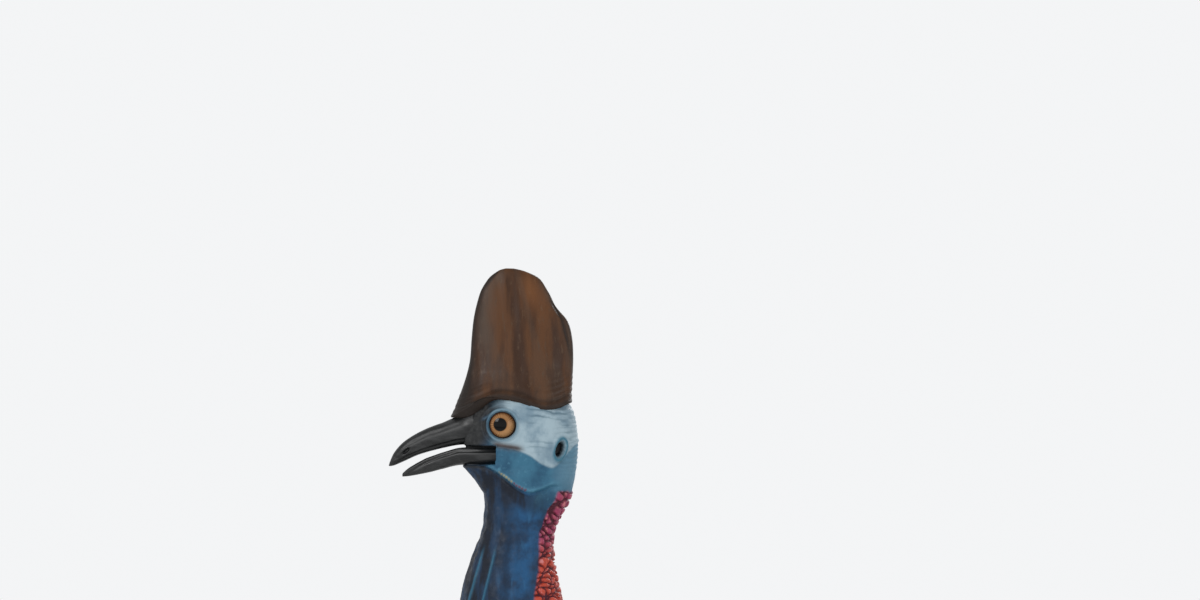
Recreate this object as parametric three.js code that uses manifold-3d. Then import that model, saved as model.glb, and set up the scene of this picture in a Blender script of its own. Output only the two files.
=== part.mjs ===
// An adult southern cassowary, life size, standing with its neck raised and its bill a little open.
// Millimetres, +Z up. The bird faces -Y and its left side is +X. The floor is z = 0.
import * as THREE from "three";
import { mergeVertices } from "three/addons/utils/BufferGeometryUtils.js";
import Module from "manifold-3d";

const wasm = await Module();
wasm.setup();
const { Manifold, Mesh: SolidMesh } = wasm;

// Driving sizes
const GAP = 0.35; // between touching pieces
const TIDY = 0.1; // slivers thinner than this are dropped
const WELD = 0.001; // corners nearer than this are one
const SIDES = { left: 1, right: -1 };
const DOWN = new THREE.Vector3(0, 0, -1);
const ACROSS = new THREE.Vector3(1, 0, 0);

// Trunk: one loft from the crown, down the neck, along the body to the rump.
// Each station is a slice between a back point and a front (belly) point, with its half width.
const TRUNK = [
  // back y, back z, front y, front z, half width
  [-228, 1566, -262, 1566, 13], // crown, under the casque
  [-208, 1548, -281, 1541, 27],
  [-202, 1512, -296, 1500, 33],
  [-205, 1476, -305, 1474, 34], // back of the head
  [-212, 1450, -303, 1450, 33], // throat
  [-228, 1418, -305, 1420, 33], // narrowest part of the neck
  [-229, 1385, -318, 1384, 38],
  [-220, 1342, -329, 1342, 44],
  [-200, 1270, -336, 1262, 53],
  [-168, 1190, -330, 1160, 66], // where the bare neck ends
  [-118, 1112, -320, 1052, 90],
  [-48, 1050, -306, 935, 124], // shoulder and breast
  [44, 1022, -262, 782, 160],
  [150, 1018, -176, 664, 182],
  [262, 992, -36, 606, 187],
  [368, 936, 116, 600, 170],
  [452, 856, 262, 628, 132],
  [500, 766, 386, 672, 76],
  [500, 716, 462, 702, 18], // rump end
];
const STATION = { headEnd: 3.85, neckHalf: 7.6, neckEnd: 9.5, coatEnd: 16.2, last: 18 };
const FULLNESS = 2.25; // exponent of the trunk's oval slices

// Head: slices from the bill's base back into the trunk's top.
const HEAD = [
  // top y, top z, bottom y, bottom z, half width
  [-322, 1546, -326, 1486, 17], // bill base
  [-304, 1562, -314, 1472, 24.5],
  [-281, 1573, -302, 1456, 30], // eyes
  [-256, 1574, -284, 1449, 33.5],
  [-234, 1566, -256, 1450, 34.5],
  [-216, 1545, -232, 1460, 29],
  [-209, 1520, -214, 1490, 12],
];
const HEAD_FULLNESS = 2.5;
const BILL_FULLNESS = { upper: 2.2, lower: 2.6 };
const EYE = { y: -283, z: 1531, x: 21.5, bulge: 11, radius: 15.6 };
const LID = { x: 26.5, radius: 15.4, thick: 2.6 };
const EAR = { y: -221, z: 1505, x: 27, tall: 10, wide: 6, rim: 2.4 };
const GAPE = { back: -289.5, end: -262, top: 1509.6, bottom: 1486.6, groove: 1.6 };

// Casque: rings from its rim on the skull up to its blade.
const CASQUE = [
  // front y, front z, rear y, rear z, half thickness
  [-339, 1539, -209, 1555, 25],
  [-334, 1552, -208.5, 1567, 23.5],
  [-327, 1571, -208, 1582, 20],
  [-320, 1597, -207.5, 1603, 16.5],
  [-317.5, 1624, -209, 1625, 13.5],
  [-315, 1645, -214, 1643, 12],
  [-311.5, 1661, -227, 1659, 10.5],
  [-306, 1676, -234, 1674, 9],
  [-298, 1689, -243, 1688, 7],
  [-288, 1697, -258, 1696, 4.5],
];
const RIM_WIDER = { half: 3.5, fullness: 1.8 }; // how much broader and squarer the rim is than the blade
const CASQUE_TOP = { y: -276, z: 1700 };
const CASQUE_ROOT = { y: -276, z: 1535 };
const RIM_ARCH = [0, 8, 15.5, 14, 8, -1.5, -4, 0]; // how far the rim rises, front to rear
const RIM_FADE = 2.6; // rings over which that arch dies out
const OFF_HEAD = 0.7; // how far the casque's underside stays off the head
const OFF_BILL = 1; // and off the bill

// Bill, from its tip to its base
const UPPER_BILL = [
  [-405.5, 1490, -406, 1486, 2.2],
  [-400, 1501.5, -400.5, 1486.8, 5.5],
  [-388, 1514, -391, 1490.8, 8.5],
  [-367, 1526, -372, 1499, 11.5],
  [-346, 1534, -350, 1505, 14],
  [-330, 1541, -333, 1509, 16.2],
  [-322.4, 1545.6, -324.5, 1510.4, 17],
];
const LOWER_BILL = [
  [-391, 1478.6, -391.5, 1474.6, 2.2],
  [-384, 1484.5, -383, 1475.4, 5],
  [-366, 1495, -364, 1479, 8],
  [-350, 1501.4, -348, 1483, 10.5],
  [-332, 1507, -330, 1487.2, 14],
  [-310, 1508.4, -309, 1487.3, 19],
  [-290.2, 1508.4, -290.2, 1487.3, 22.5],
];
const NOSTRIL = { y: -387.5, z: 1502.5, x: 7.6, long: 4.4, tall: 2.3, slope: -0.62 };

// Bare neck: the knobbly red strip down the nape, and the two wattles
const NAPE = { first: 4.1, last: 9.1, pitch: 25, across: 0.44, bulb: 19, rise: 3 };
const WATTLE = { station: 7.9, spread: 15, length: 132, width: 17, thick: 6.5, clear: 9 };

// Legs. The left foot stands ahead of the right one.
const STRIDE = { left: -34, right: 34 };
const LEG = {
  knee: [88, 62, 705],
  calf: [96, 118, 600],
  shin: [102, 178, 480],
  heel: [104, 206, 392],
  cannon: [106, 178, 230],
  foot: [108, 142, 62],
  pad: [108, 130, -7],
};
const DRUMSTICK_RADII = [74, 68, 35];
const DRUMSTICK_FLAT = 0.84; // its thickness across as a share of its depth
const SHANK_RADII = [33, 31, 25, 21.5, 21, 25, 27.5];
const SHANK = { steps: 24, sides: 10, scute: 1.5, plates: 11, flatten: 0.86 };
const TOES = {
  // reach of the fleshy toe, claw length, turn outward in degrees, root radius
  inner: { reach: 72, claw: 104, turn: -30, radius: 19.5, clawRadius: 8.6 },
  middle: { reach: 146, claw: 46, turn: 3, radius: 20.5, clawRadius: 9 },
  outer: { reach: 104, claw: 36, turn: 34, radius: 18.5, clawRadius: 8 },
};
const TOE = { sides: 8, steps: 12, pads: 4, swell: 1.3, tip: 10.5, flat: 0.82 };

// Coat: tapered locks of hair-like feathers
const COAT = {
  rows: 7,
  spacing: 118,
  wrap: { breast: 3.14, rear: 2.3 }, // radians from the back that the rows reach
  width: 112,
  thick: 11,
  steps: 4,
  sink: 14,
  lift: 0.55,
  droop: 0.55,
  float: 30,
  jitter: 0.12,
};
const LEG_COAT = { rows: 2, around: 7, width: 54, thick: 7, length: 122, float: 8, sink: 9, steps: 3 };
const QUILLS = { count: 5, station: 11.2, angle: 1.16, length: 330, radius: 2.7, float: 46, fan: 0.075 };

// Seeded draw, so that the coat is the same at each build
let seed = 20307;
function draw(spread) {
  seed = (seed * 16807) % 2147483647;
  return ((seed / 2147483647) * 2 - 1) * spread;
}

/** A point from three numbers. */
const at = (x, y, z) => new THREE.Vector3(x, y, z);

/** Smooth curves through a table of slices; place(s) gives slice s, counted in rows of the table. */
function slices(table) {
  const spline = (i, j) => new THREE.SplineCurve(table.map((row) => new THREE.Vector2(row[i], row[j])));
  const [back, front, side] = [spline(0, 1), spline(2, 3), spline(4, 4)];
  return (s) => {
    const t = THREE.MathUtils.clamp(s / (table.length - 1), 0, 1);
    const [b, f, w] = [back.getPoint(t), front.getPoint(t), side.getPoint(t)];
    return { back: at(0, b.x, b.y), front: at(0, f.x, f.y), half: w.x };
  };
}

/** The point of a slice at an angle from its back, on an oval of the given fullness, grown outward. */
function onSlice({ back, front, half }, angle, fullness, grow = 0) {
  const middle = back.clone().add(front).multiplyScalar(0.5);
  const reach = back.clone().sub(front).multiplyScalar(0.5);
  const power = 2 / fullness;
  const up = Math.sign(Math.cos(angle)) * Math.abs(Math.cos(angle)) ** power;
  const out = Math.sign(Math.sin(angle)) * Math.abs(Math.sin(angle)) ** power;
  const deep = reach.length();
  return middle
    .addScaledVector(reach.divideScalar(Math.max(deep, 1e-6)), up * (deep + grow))
    .addScaledVector(ACROSS, out * (half + grow));
}

/** The ring of points round a slice. */
function ringOf(slice, sides, fullness, grow = 0) {
  return Array.from({ length: sides }, (_, i) => onSlice(slice, (i / sides) * 2 * Math.PI, fullness, grow));
}

/** Rings of a table of slices between two places. */
function ringsOf(table, from, to, count, sides, fullness, grow = 0) {
  const place = slices(table);
  return Array.from({ length: count + 1 }, (_, i) =>
    ringOf(place(from + ((to - from) * i) / count), sides, fullness, grow),
  );
}

/** The same ring moved a little along a direction. */
const moved = (ring, direction, distance) => ring.map((p) => p.clone().addScaledVector(direction, distance));

/** The mean of some points. */
function meanOf(points) {
  return points.reduce((sum, p) => sum.add(p), at(0, 0, 0)).divideScalar(points.length);
}

/** One closed solid through rings of equal count; startTip and endTip, if given, close it in points. */
function skin(rings, startTip, endTip) {
  const sides = rings[0].length;
  const points = rings.flat();
  const faces = [];
  for (let r = 0; r + 1 < rings.length; r++) {
    for (let i = 0; i < sides; i++) {
      const j = (i + 1) % sides;
      const [a, b, c, d] = [r * sides + i, r * sides + j, (r + 1) * sides + j, (r + 1) * sides + i];
      // The two halves of a ring are split as mirror images, so both faces of a flat lock match.
      if (i < sides / 2) faces.push([a, b, c], [a, c, d]);
      else faces.push([a, b, d], [b, c, d]);
    }
  }
  const cap = (first, tip, turn) => {
    points.push(tip);
    for (let i = 0; i < sides; i++) {
      const [a, b] = [first + i, first + ((i + 1) % sides)];
      faces.push(turn ? [b, a, points.length - 1] : [a, b, points.length - 1]);
    }
  };
  cap(0, startTip ?? meanOf(rings[0]), true);
  cap((rings.length - 1) * sides, endTip ?? meanOf(rings.at(-1)), false);
  return solidFrom(points.flatMap((p) => [p.x, p.y, p.z]), faces.flat());
}

/** A solid from flat lists of coordinates and corners, turned so that its faces point out. */
function solidFrom(coordinates, corners) {
  const make = (order) =>
    new Manifold(
      new SolidMesh({
        numProp: 3,
        vertProperties: new Float32Array(coordinates),
        triVerts: new Uint32Array(order),
      }),
    );
  const made = make(corners);
  if (made.volume() > 0) return made;
  const turned = [];
  for (let i = 0; i < corners.length; i += 3) turned.push(corners[i], corners[i + 2], corners[i + 1]);
  return make(turned);
}

/** A solid from one of three.js's closed geometries, placed by a matrix. */
function solidOf(geometry, matrix = new THREE.Matrix4()) {
  const bare = geometry.clone().deleteAttribute("normal").deleteAttribute("uv").applyMatrix4(matrix);
  const merged = mergeVertices(bare, 1e-3);
  return solidFrom([...merged.attributes.position.array], [...merged.index.array]);
}

/** A ball stretched to three half sizes about a point, turned about X if asked. */
function ball(centre, half, wide = 14, tall = 10, turn = 0) {
  const place = new THREE.Matrix4().compose(
    centre,
    new THREE.Quaternion().setFromAxisAngle(ACROSS, turn),
    half,
  );
  return solidOf(new THREE.SphereGeometry(1, wide, tall), place);
}

/** A ring lying in the plane of the bird's side, stretched to two radii. */
function sideRing(centre, thick, tall, wide, flat = 1) {
  const place = new THREE.Matrix4().compose(
    centre,
    new THREE.Quaternion().setFromAxisAngle(at(0, 1, 0), Math.PI / 2),
    at(tall, wide, flat),
  );
  return solidOf(new THREE.TorusGeometry(1, thick / Math.min(tall, wide), 5, 14), place);
}

/** A box between two corners. */
function box(low, high) {
  const size = high.clone().sub(low);
  const middle = low.clone().add(high).multiplyScalar(0.5);
  return solidOf(new THREE.BoxGeometry(size.x, size.y, size.z), new THREE.Matrix4().setPosition(middle));
}

const joined = (solids) => Manifold.union(solids);

/** Only the largest closed surface of a solid, which fills sealed hollows and drops loose scraps. */
function largest(solid) {
  const bodies = solid.decompose();
  return bodies.reduce((best, body) => (body.volume() > best.volume() ? body : best), bodies[0]);
}

/** A solid grown by a small distance, by joining copies moved each way. */
function fattened(solid, distance) {
  const ways = [ACROSS, at(0, 1, 0), at(0, 0, 1)];
  const copies = ways.flatMap((way) =>
    [-1, 1].map((sign) => solid.translate(way.clone().multiplyScalar(sign * distance).toArray())),
  );
  return joined([solid, ...copies]);
}

/** The mirror image on the bird's other side. */
const mirrored = (p, side) => at(p.x * side, p.y, p.z);

// Materials, by what each piece is made of
const paint = (color, roughness, metalness = 0) =>
  new THREE.MeshStandardMaterial({ color: new THREE.Color(color), roughness, metalness });
const MATERIALS = {
  casque: paint("#5f4029", 0.45),
  bill: paint("#2c2d2c", 0.4),
  eye: paint("#b0743a", 0.08),
  face: paint("#6fa6c4", 0.6),
  neck: paint("#1f5f8f", 0.65),
  wattle: paint("#c23a35", 0.6),
  coat: paint("#15120f", 0.8),
  quill: paint("#1a1817", 0.35),
  scale: paint("#6d6a5b", 0.7),
  claw: paint("#26231f", 0.4),
};

const bird = new THREE.Group();

/** The surface of a solid, with corners that all but touch made one. */
function surfaceOf(solid) {
  const { vertProperties, triVerts } = solid.getMesh();
  const geometry = new THREE.BufferGeometry();
  geometry.setAttribute("position", new THREE.BufferAttribute(new Float32Array(vertProperties), 3));
  geometry.setIndex(new THREE.BufferAttribute(new Uint32Array(triVerts), 1));
  return mergeVertices(geometry, WELD);
}

/** Adds a solid to the bird as one named mesh. */
function add(name, solid, material) {
  let geometry = surfaceOf(largest(solid.simplify(TIDY)));
  for (let pass = 0; pass < 2; pass++) {
    const rebuilt = solidFrom([...geometry.attributes.position.array], [...geometry.index.array]);
    geometry = surfaceOf(largest(rebuilt));
  }
  const mesh = new THREE.Mesh(geometry, material);
  mesh.name = name;
  bird.add(mesh);
}

// Trunk pieces
const trunkAt = slices(TRUNK);

/** A length of the trunk between two places. */
const trunkPiece = (from, to, count, sides, grow = 0) =>
  skin(ringsOf(TRUNK, from, to, count, sides, FULLNESS, grow));

/** What a solid has above the trunk's slice at a place, or below it, short of that seam by half the gap. */
function partOf(solid, place, above) {
  const { back, front } = trunkAt(place);
  const normal = back.clone().sub(front).cross(ACROSS).normalize();
  if (normal.z > 0 !== above) normal.negate();
  return solid.trimByPlane(normal.toArray(), normal.dot(back) + GAP / 2);
}

// Head
const crownAndNape = (grow) => trunkPiece(0, STATION.headEnd + 0.2, 7, 16, grow);
const face = (grow) => skin(ringsOf(HEAD, 0, HEAD.length - 1, 10, 16, HEAD_FULLNESS, grow));
const headForm = (grow = 0) => joined([crownAndNape(grow), face(grow)]);

/** The mouth: the room of the lower bill, and a groove that carries its line back along the cheek. */
function mouth() {
  const room = box(at(-60, -345, GAPE.bottom), at(60, GAPE.back, GAPE.top));
  const long = (GAPE.end - GAPE.back) / 2 + 4;
  const grooves = Object.values(SIDES).map((side) =>
    ball(at(31 * side, GAPE.back + long - 4, GAPE.top - 1.6), at(4.5, long, GAPE.groove), 10, 6),
  );
  return joined([room, ...grooves]);
}

const eyeball = (side, grow = 0) =>
  ball(
    at(EYE.x * side, EYE.y, EYE.z),
    at(EYE.bulge + grow, EYE.radius + grow, EYE.radius + grow),
    14,
    8,
  );

/** The lids round an eye. */
const lids = (side) => sideRing(at(LID.x * side, EYE.y, EYE.z), LID.thick, LID.radius, LID.radius);

/** An ear: a raised rim, and the cup that is hollowed inside it. */
const earRim = (side) => sideRing(at(EAR.x * side, EAR.y, EAR.z), EAR.rim, EAR.tall, EAR.wide);
const earCup = (side) =>
  ball(at((EAR.x + 4) * side, EAR.y, EAR.z), at(8, EAR.wide - 1.4, EAR.tall - 1.4), 10, 8);

const bothSides = (make) => Object.values(SIDES).map(make);
const head = joined([headForm(), ...bothSides(lids), ...bothSides(earRim)]).subtract(
  joined([mouth(), ...bothSides((side) => eyeball(side, GAP)), ...bothSides(earCup)]),
);
add("head", partOf(head, STATION.headEnd, true), MATERIALS.face);
for (const [name, side] of Object.entries(SIDES)) add("eye_" + name, eyeball(side), MATERIALS.eye);

// Bill
const upperBill = (grow = 0) => skin(ringsOf(UPPER_BILL, 0, 6, 9, 12, BILL_FULLNESS.upper, grow));
const nostrils = joined(
  bothSides((side) =>
    ball(
      at(NOSTRIL.x * side, NOSTRIL.y, NOSTRIL.z),
      at(2.2, NOSTRIL.long, NOSTRIL.tall),
      10,
      6,
      NOSTRIL.slope,
    ),
  ),
);
add("bill_upper", upperBill().subtract(nostrils), MATERIALS.bill);
add("bill_lower", skin(ringsOf(LOWER_BILL, 0, 6, 9, 12, BILL_FULLNESS.lower)), MATERIALS.bill);

// Casque

/** How far the casque's rim rises above the line from its front to its rear, at a share of that line. */
function rimArch(share) {
  const curve = new THREE.SplineCurve(RIM_ARCH.map((rise, i) => new THREE.Vector2(i, rise)));
  return curve.getPoint(THREE.MathUtils.clamp(share, 0, 1)).y;
}

/** One ring of the casque. */
function casqueRing(index, sides) {
  const slice = slices(CASQUE)(index);
  const [rear, front] = [slice.back, slice.front];
  const fade = Math.max(0, 1 - index / RIM_FADE);
  slice.half += RIM_WIDER.half * fade;
  return ringOf(slice, sides, 2 + RIM_WIDER.fullness * fade).map((p) => {
    const share = (p.y - front.y) / (rear.y - front.y);
    return at(p.x, p.y, p.z + fade * rimArch(share));
  });
}

const casqueRings = Array.from({ length: 14 }, (_, i) => casqueRing((i * 9) / 13, 18));
const casque = skin(
  casqueRings,
  at(0, CASQUE_ROOT.y, CASQUE_ROOT.z),
  at(0, CASQUE_TOP.y, CASQUE_TOP.z),
).subtract(joined([fattened(head, GAP), headForm(OFF_HEAD), fattened(upperBill(OFF_BILL), GAP)]));
add("casque", casque, MATERIALS.casque);

// Neck

/** The frame of the trunk's skin at a place and an angle from the back: point, normal and the way along. */
function onTrunk(place, angle, grow = 0) {
  const step = 0.02;
  const point = onSlice(trunkAt(place), angle, FULLNESS, grow);
  const onward = onSlice(trunkAt(place + step), angle, FULLNESS, grow);
  const before = onSlice(trunkAt(place - step), angle, FULLNESS, grow);
  const along = onward.sub(before).normalize();
  const around = onSlice(trunkAt(place), angle + step, FULLNESS, grow).sub(point).normalize();
  const normal = along.clone().cross(around).normalize();
  const centre = meanOf([trunkAt(place).back, trunkAt(place).front]);
  if (normal.dot(point.clone().sub(centre)) < 0) normal.negate();
  return { point, normal, along };
}

/** The knobs of the red strip down the nape, between two places along the trunk. */
function napeKnobs(from, to) {
  const knobs = [];
  let row = 0;
  for (let place = from; place < to; row++) {
    const { back, front, half } = trunkAt(place);
    const size = NAPE.bulb * (0.8 + (0.35 * half) / 50);
    const count = Math.round((NAPE.across * 2 * half) / size) + 1;
    for (let i = 0; i < count; i++) {
      const share = count > 1 ? i / (count - 1) - 0.5 : 0;
      const { point, normal } = onTrunk(place, share * 2 * NAPE.across + draw(0.04));
      const half3 = at(size * (0.52 + draw(0.08)), size * 0.55, size * (0.62 + draw(0.1)));
      knobs.push(ball(point.addScaledVector(normal, NAPE.rise - size * 0.42), half3, 5, 4));
    }
    const next = trunkAt(place + 0.1);
    const run = next.back.distanceTo(back) + next.front.distanceTo(front) * 0.2;
    place += (0.1 * NAPE.pitch) / Math.max(run, 1);
  }
  return knobs;
}

const neckForm = (grow = 0) =>
  trunkPiece(STATION.headEnd - 0.2, STATION.neckEnd + 0.2, 15, 20, grow);
const neck = partOf(
  partOf(joined([neckForm(), ...napeKnobs(NAPE.first, NAPE.last)]), STATION.headEnd, false),
  STATION.neckEnd,
  true,
);
add("neck_upper", partOf(neck, STATION.neckHalf, true), MATERIALS.neck);
add("neck_lower", partOf(neck, STATION.neckHalf, false), MATERIALS.neck);

/** A wattle: a flat lobe that hangs from the front of the neck. */
function wattle(side) {
  const { point } = onTrunk(WATTLE.station, Math.PI);
  const rings = [];
  const steps = 9;
  for (let i = 0; i <= steps; i++) {
    const share = i / steps;
    const drop = share * WATTLE.length;
    const out = WATTLE.clear * Math.min(1, share * 3) - 6 * (1 - Math.min(1, share * 5));
    const centre = at(side * (WATTLE.spread + 5 * share), point.y - out - 2, point.z - drop);
    const lobe = Math.sin(Math.PI * Math.min(1, 0.28 + 0.66 * share)) ** 0.75;
    const wide = WATTLE.width * (0.45 + 0.55 * share) * lobe + 1;
    const thick = WATTLE.thick * (0.75 + 0.25 * share) * Math.max(lobe, 0.3);
    rings.push(
      Array.from({ length: 12 }, (_, k) => {
        const a = (k / 12) * 2 * Math.PI;
        return at(centre.x + thick * Math.sin(a), centre.y - 0.55 * wide * Math.cos(a), centre.z);
      }),
    );
  }
  return skin(rings);
}

for (const [name, side] of Object.entries(SIDES)) {
  add("wattle_" + name, wattle(side).subtract(neckForm(GAP)), MATERIALS.wattle);
}

// Coat

/** Points of a surface to measure from: each has a point, a normal and the way along the body. */
class Surface {
  constructor(samples) {
    this.samples = samples;
  }

  /** The sample nearest to a point. */
  nearest(p) {
    let best = this.samples[0];
    let least = Infinity;
    for (const sample of this.samples) {
      const distance = sample.point.distanceToSquared(p);
      if (distance < least) [least, best] = [distance, sample];
    }
    return best;
  }
}

const trunkSamples = [];
for (let place = STATION.neckEnd - 1; place < STATION.last; place += 0.2) {
  for (let angle = 0; angle < 2 * Math.PI; angle += Math.PI / 24) trunkSamples.push(onTrunk(place, angle));
}
const trunkSurface = new Surface(trunkSamples);

/** The centre line of a lock: it leaves the skin at its root, then lies along the coat and droops. */
function lockPath(root, surface, { length, sink, lift, droop, float, steps, down }) {
  const flow = root.along.clone().addScaledVector(DOWN, down).projectOnPlane(root.normal).normalize();
  const direction = flow.clone().addScaledVector(root.normal, lift).normalize();
  const point = root.point.clone().addScaledVector(root.normal, -sink);
  const path = [point.clone()];
  const stride = length / steps;
  for (let i = 1; i <= steps; i++) {
    point.addScaledVector(direction, stride + (i === 1 ? sink : 0));
    path.push(point.clone());
    const here = surface.nearest(point);
    const height = point.clone().sub(here.point).dot(here.normal);
    const share = i / steps;
    const lie = here.along.clone().addScaledVector(DOWN, down).projectOnPlane(here.normal).normalize();
    direction.lerp(lie, 0.6).addScaledVector(DOWN, droop * share);
    direction.addScaledVector(here.normal, ((float * (0.45 + 0.55 * share) - height) / stride) * 0.9);
    direction.normalize();
  }
  return path;
}

/** A flat tapered lock along a path: three sides, a ridge on top, and a point at its end. */
function lock(path, normal, width, thick) {
  const rings = [];
  for (let i = 0; i + 1 < path.length; i++) {
    const share = i / (path.length - 1);
    const ahead = path[i + 1].clone().sub(path[Math.max(0, i - 1)]).normalize();
    const side = ahead.clone().cross(normal).normalize();
    const up = side.clone().cross(ahead).normalize();
    const wide = (width / 2) * (0.55 + 0.45 * Math.sin(Math.PI * Math.min(1, share * 1.35)));
    const taper = share < 0.45 ? wide : wide * (1 - 0.62 * ((share - 0.45) / 0.55) ** 1.3);
    const deep = thick * (1 - 0.6 * share);
    rings.push([
      path[i].clone().addScaledVector(side, -taper),
      path[i].clone().addScaledVector(up, deep),
      path[i].clone().addScaledVector(side, taper),
    ]);
  }
  return skin(rings, undefined, path.at(-1));
}

/** The length of the coat at a place: short on the breast, long over the rump. */
const coatLength = (share) => 150 + 95 * share + 30 * Math.sin(Math.PI * share);

/** All the locks of the body. */
function bodyLocks() {
  const locks = [];
  const first = STATION.neckEnd + 0.22;
  for (let row = 0; row < COAT.rows; row++) {
    const share = row / (COAT.rows - 1);
    const place = first + (STATION.coatEnd - first) * share ** 0.93;
    const { back, front, half } = trunkAt(place);
    const wrap = THREE.MathUtils.lerp(COAT.wrap.breast, COAT.wrap.rear, Math.min(1, 1.8 * share));
    const girth = Math.PI * (half + back.distanceTo(front) / 2);
    const count = Math.max(6, Math.round((girth * wrap) / Math.PI / COAT.spacing));
    for (let i = 0; i < count; i++) {
      const centred = ((i + (row % 2 ? 0.5 : 0)) / count) * 2 - 1;
      const angle = centred * wrap + draw(0.05);
      const root = onTrunk(place + draw(COAT.jitter), angle);
      const path = lockPath(root, trunkSurface, {
        ...COAT,
        length: coatLength(share) * (1 + draw(0.12)),
        down: 0.75,
      });
      locks.push(lock(path, root.normal, COAT.width * (1 + draw(0.12)), COAT.thick));
    }
  }
  return locks;
}

// Legs

/** A curve through a leg's named places, on one side, shifted by its stride. */
function legCurve(name, places) {
  return new THREE.CatmullRomCurve3(
    places.map((key) => mirrored(at(LEG[key][0], LEG[key][1] + STRIDE[name], LEG[key][2]), SIDES[name])),
  );
}

/** A number read smoothly from a short list at a share of its length. */
function blend(list, share) {
  const place = THREE.MathUtils.clamp(share, 0, 1) * (list.length - 1);
  const i = Math.min(Math.floor(place), list.length - 2);
  return THREE.MathUtils.lerp(list[i], list[i + 1], THREE.MathUtils.smoothstep(place - i, 0, 1));
}

/** Rings round a leg, flattened a little from side to side. */
function legRings(curve, radius, steps, sides, flatten, from = 0, to = 1) {
  return Array.from({ length: steps + 1 }, (_, i) => {
    const share = from + ((to - from) * i) / steps;
    const centre = curve.getPoint(share);
    const tangent = curve.getTangent(share);
    const fore = at(0, -1, 0).projectOnPlane(tangent).normalize();
    const beside = tangent.clone().cross(fore).normalize();
    return Array.from({ length: sides }, (_, k) => {
      const a = (k / sides) * 2 * Math.PI;
      const r = radius(share, a);
      return centre
        .clone()
        .addScaledVector(fore, Math.cos(a) * r)
        .addScaledVector(beside, Math.sin(a) * r * flatten);
    });
  });
}

const DRUMSTICK_PLACES = ["knee", "calf", "shin"];
const SHANK_PLACES = ["shin", "heel", "cannon", "foot", "pad"];

/** The feathered upper part of a leg, without its coat. */
function drumstick(name, grow = 0) {
  const curve = legCurve(name, DRUMSTICK_PLACES);
  const rings = legRings(curve, (share) => blend(DRUMSTICK_RADII, share) + grow, 6, 12, DRUMSTICK_FLAT);
  return skin(rings, curve.getPoint(0).add(at(0, -10, 40)));
}

/** The locks of a drumstick, kept off the body. */
function drumstickLocks(name, body) {
  const curve = legCurve(name, DRUMSTICK_PLACES);
  const radius = (share) => blend(DRUMSTICK_RADII, share);
  const samples = [];
  const rings = legRings(curve, radius, 16, 24, DRUMSTICK_FLAT);
  rings.forEach((ring, i) => {
    const centre = meanOf(ring);
    const along = curve.getTangent(i / 16);
    ring.forEach((point) => samples.push({ point, along, normal: point.clone().sub(centre).normalize() }));
  });
  const surface = new Surface(samples);
  const locks = [];
  for (let row = 0; row < LEG_COAT.rows; row++) {
    for (let i = 0; i < LEG_COAT.around; i++) {
      const share = 0.42 + 0.2 * row;
      const angle = ((i + (row % 2) / 2) / LEG_COAT.around) * 2 * Math.PI;
      const [ring] = legRings(curve, radius, 1, 48, DRUMSTICK_FLAT, share, share + 0.01);
      const point = ring[Math.round((angle / (2 * Math.PI)) * 48) % 48];
      const centre = meanOf(ring);
      const root = { point, along: curve.getTangent(share), normal: point.clone().sub(centre).normalize() };
      for (const cut of [1, 0.8, 0.62, 0.45]) {
        const path = lockPath(root, surface, {
          ...COAT,
          ...LEG_COAT,
          length: LEG_COAT.length * cut * (1 - 0.14 * row) * (1 + draw(0.08)),
          lift: 0.3,
          down: 0,
          droop: 0.2,
        });
        const made = (spare) => {
          const width = LEG_COAT.width * (1 - 0.14 * row);
          return lock(path, root.normal, width + spare, LEG_COAT.thick + spare);
        };
        if (made(4 * GAP).intersect(body).volume() < 1e-3) {
          locks.push(made(0));
          break;
        }
      }
    }
  }
  return locks;
}

/** The bare shank: heel joint, scaled cannon and the pad under the toes, with plates raised on its front. */
function shank(name, grow = 0) {
  const curve = legCurve(name, SHANK_PLACES);
  const radius = (share, angle) => {
    const plated = share > 0.34 && share < 0.93 && Math.cos(angle) > 0.55;
    const plate = (share * SHANK.plates * 1.6) % 1;
    return blend(SHANK_RADII, share) + (plated ? SHANK.scute * (1 - plate) : 0) + grow;
  };
  const rings = legRings(curve, radius, SHANK.steps, SHANK.sides, SHANK.flatten);
  if (!grow) rings[0] = moved(rings[0], curve.getTangent(0), GAP);
  return skin(rings.map((ring) => ring.map((p) => at(p.x, p.y, Math.max(p.z, 0)))));
}

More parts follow.
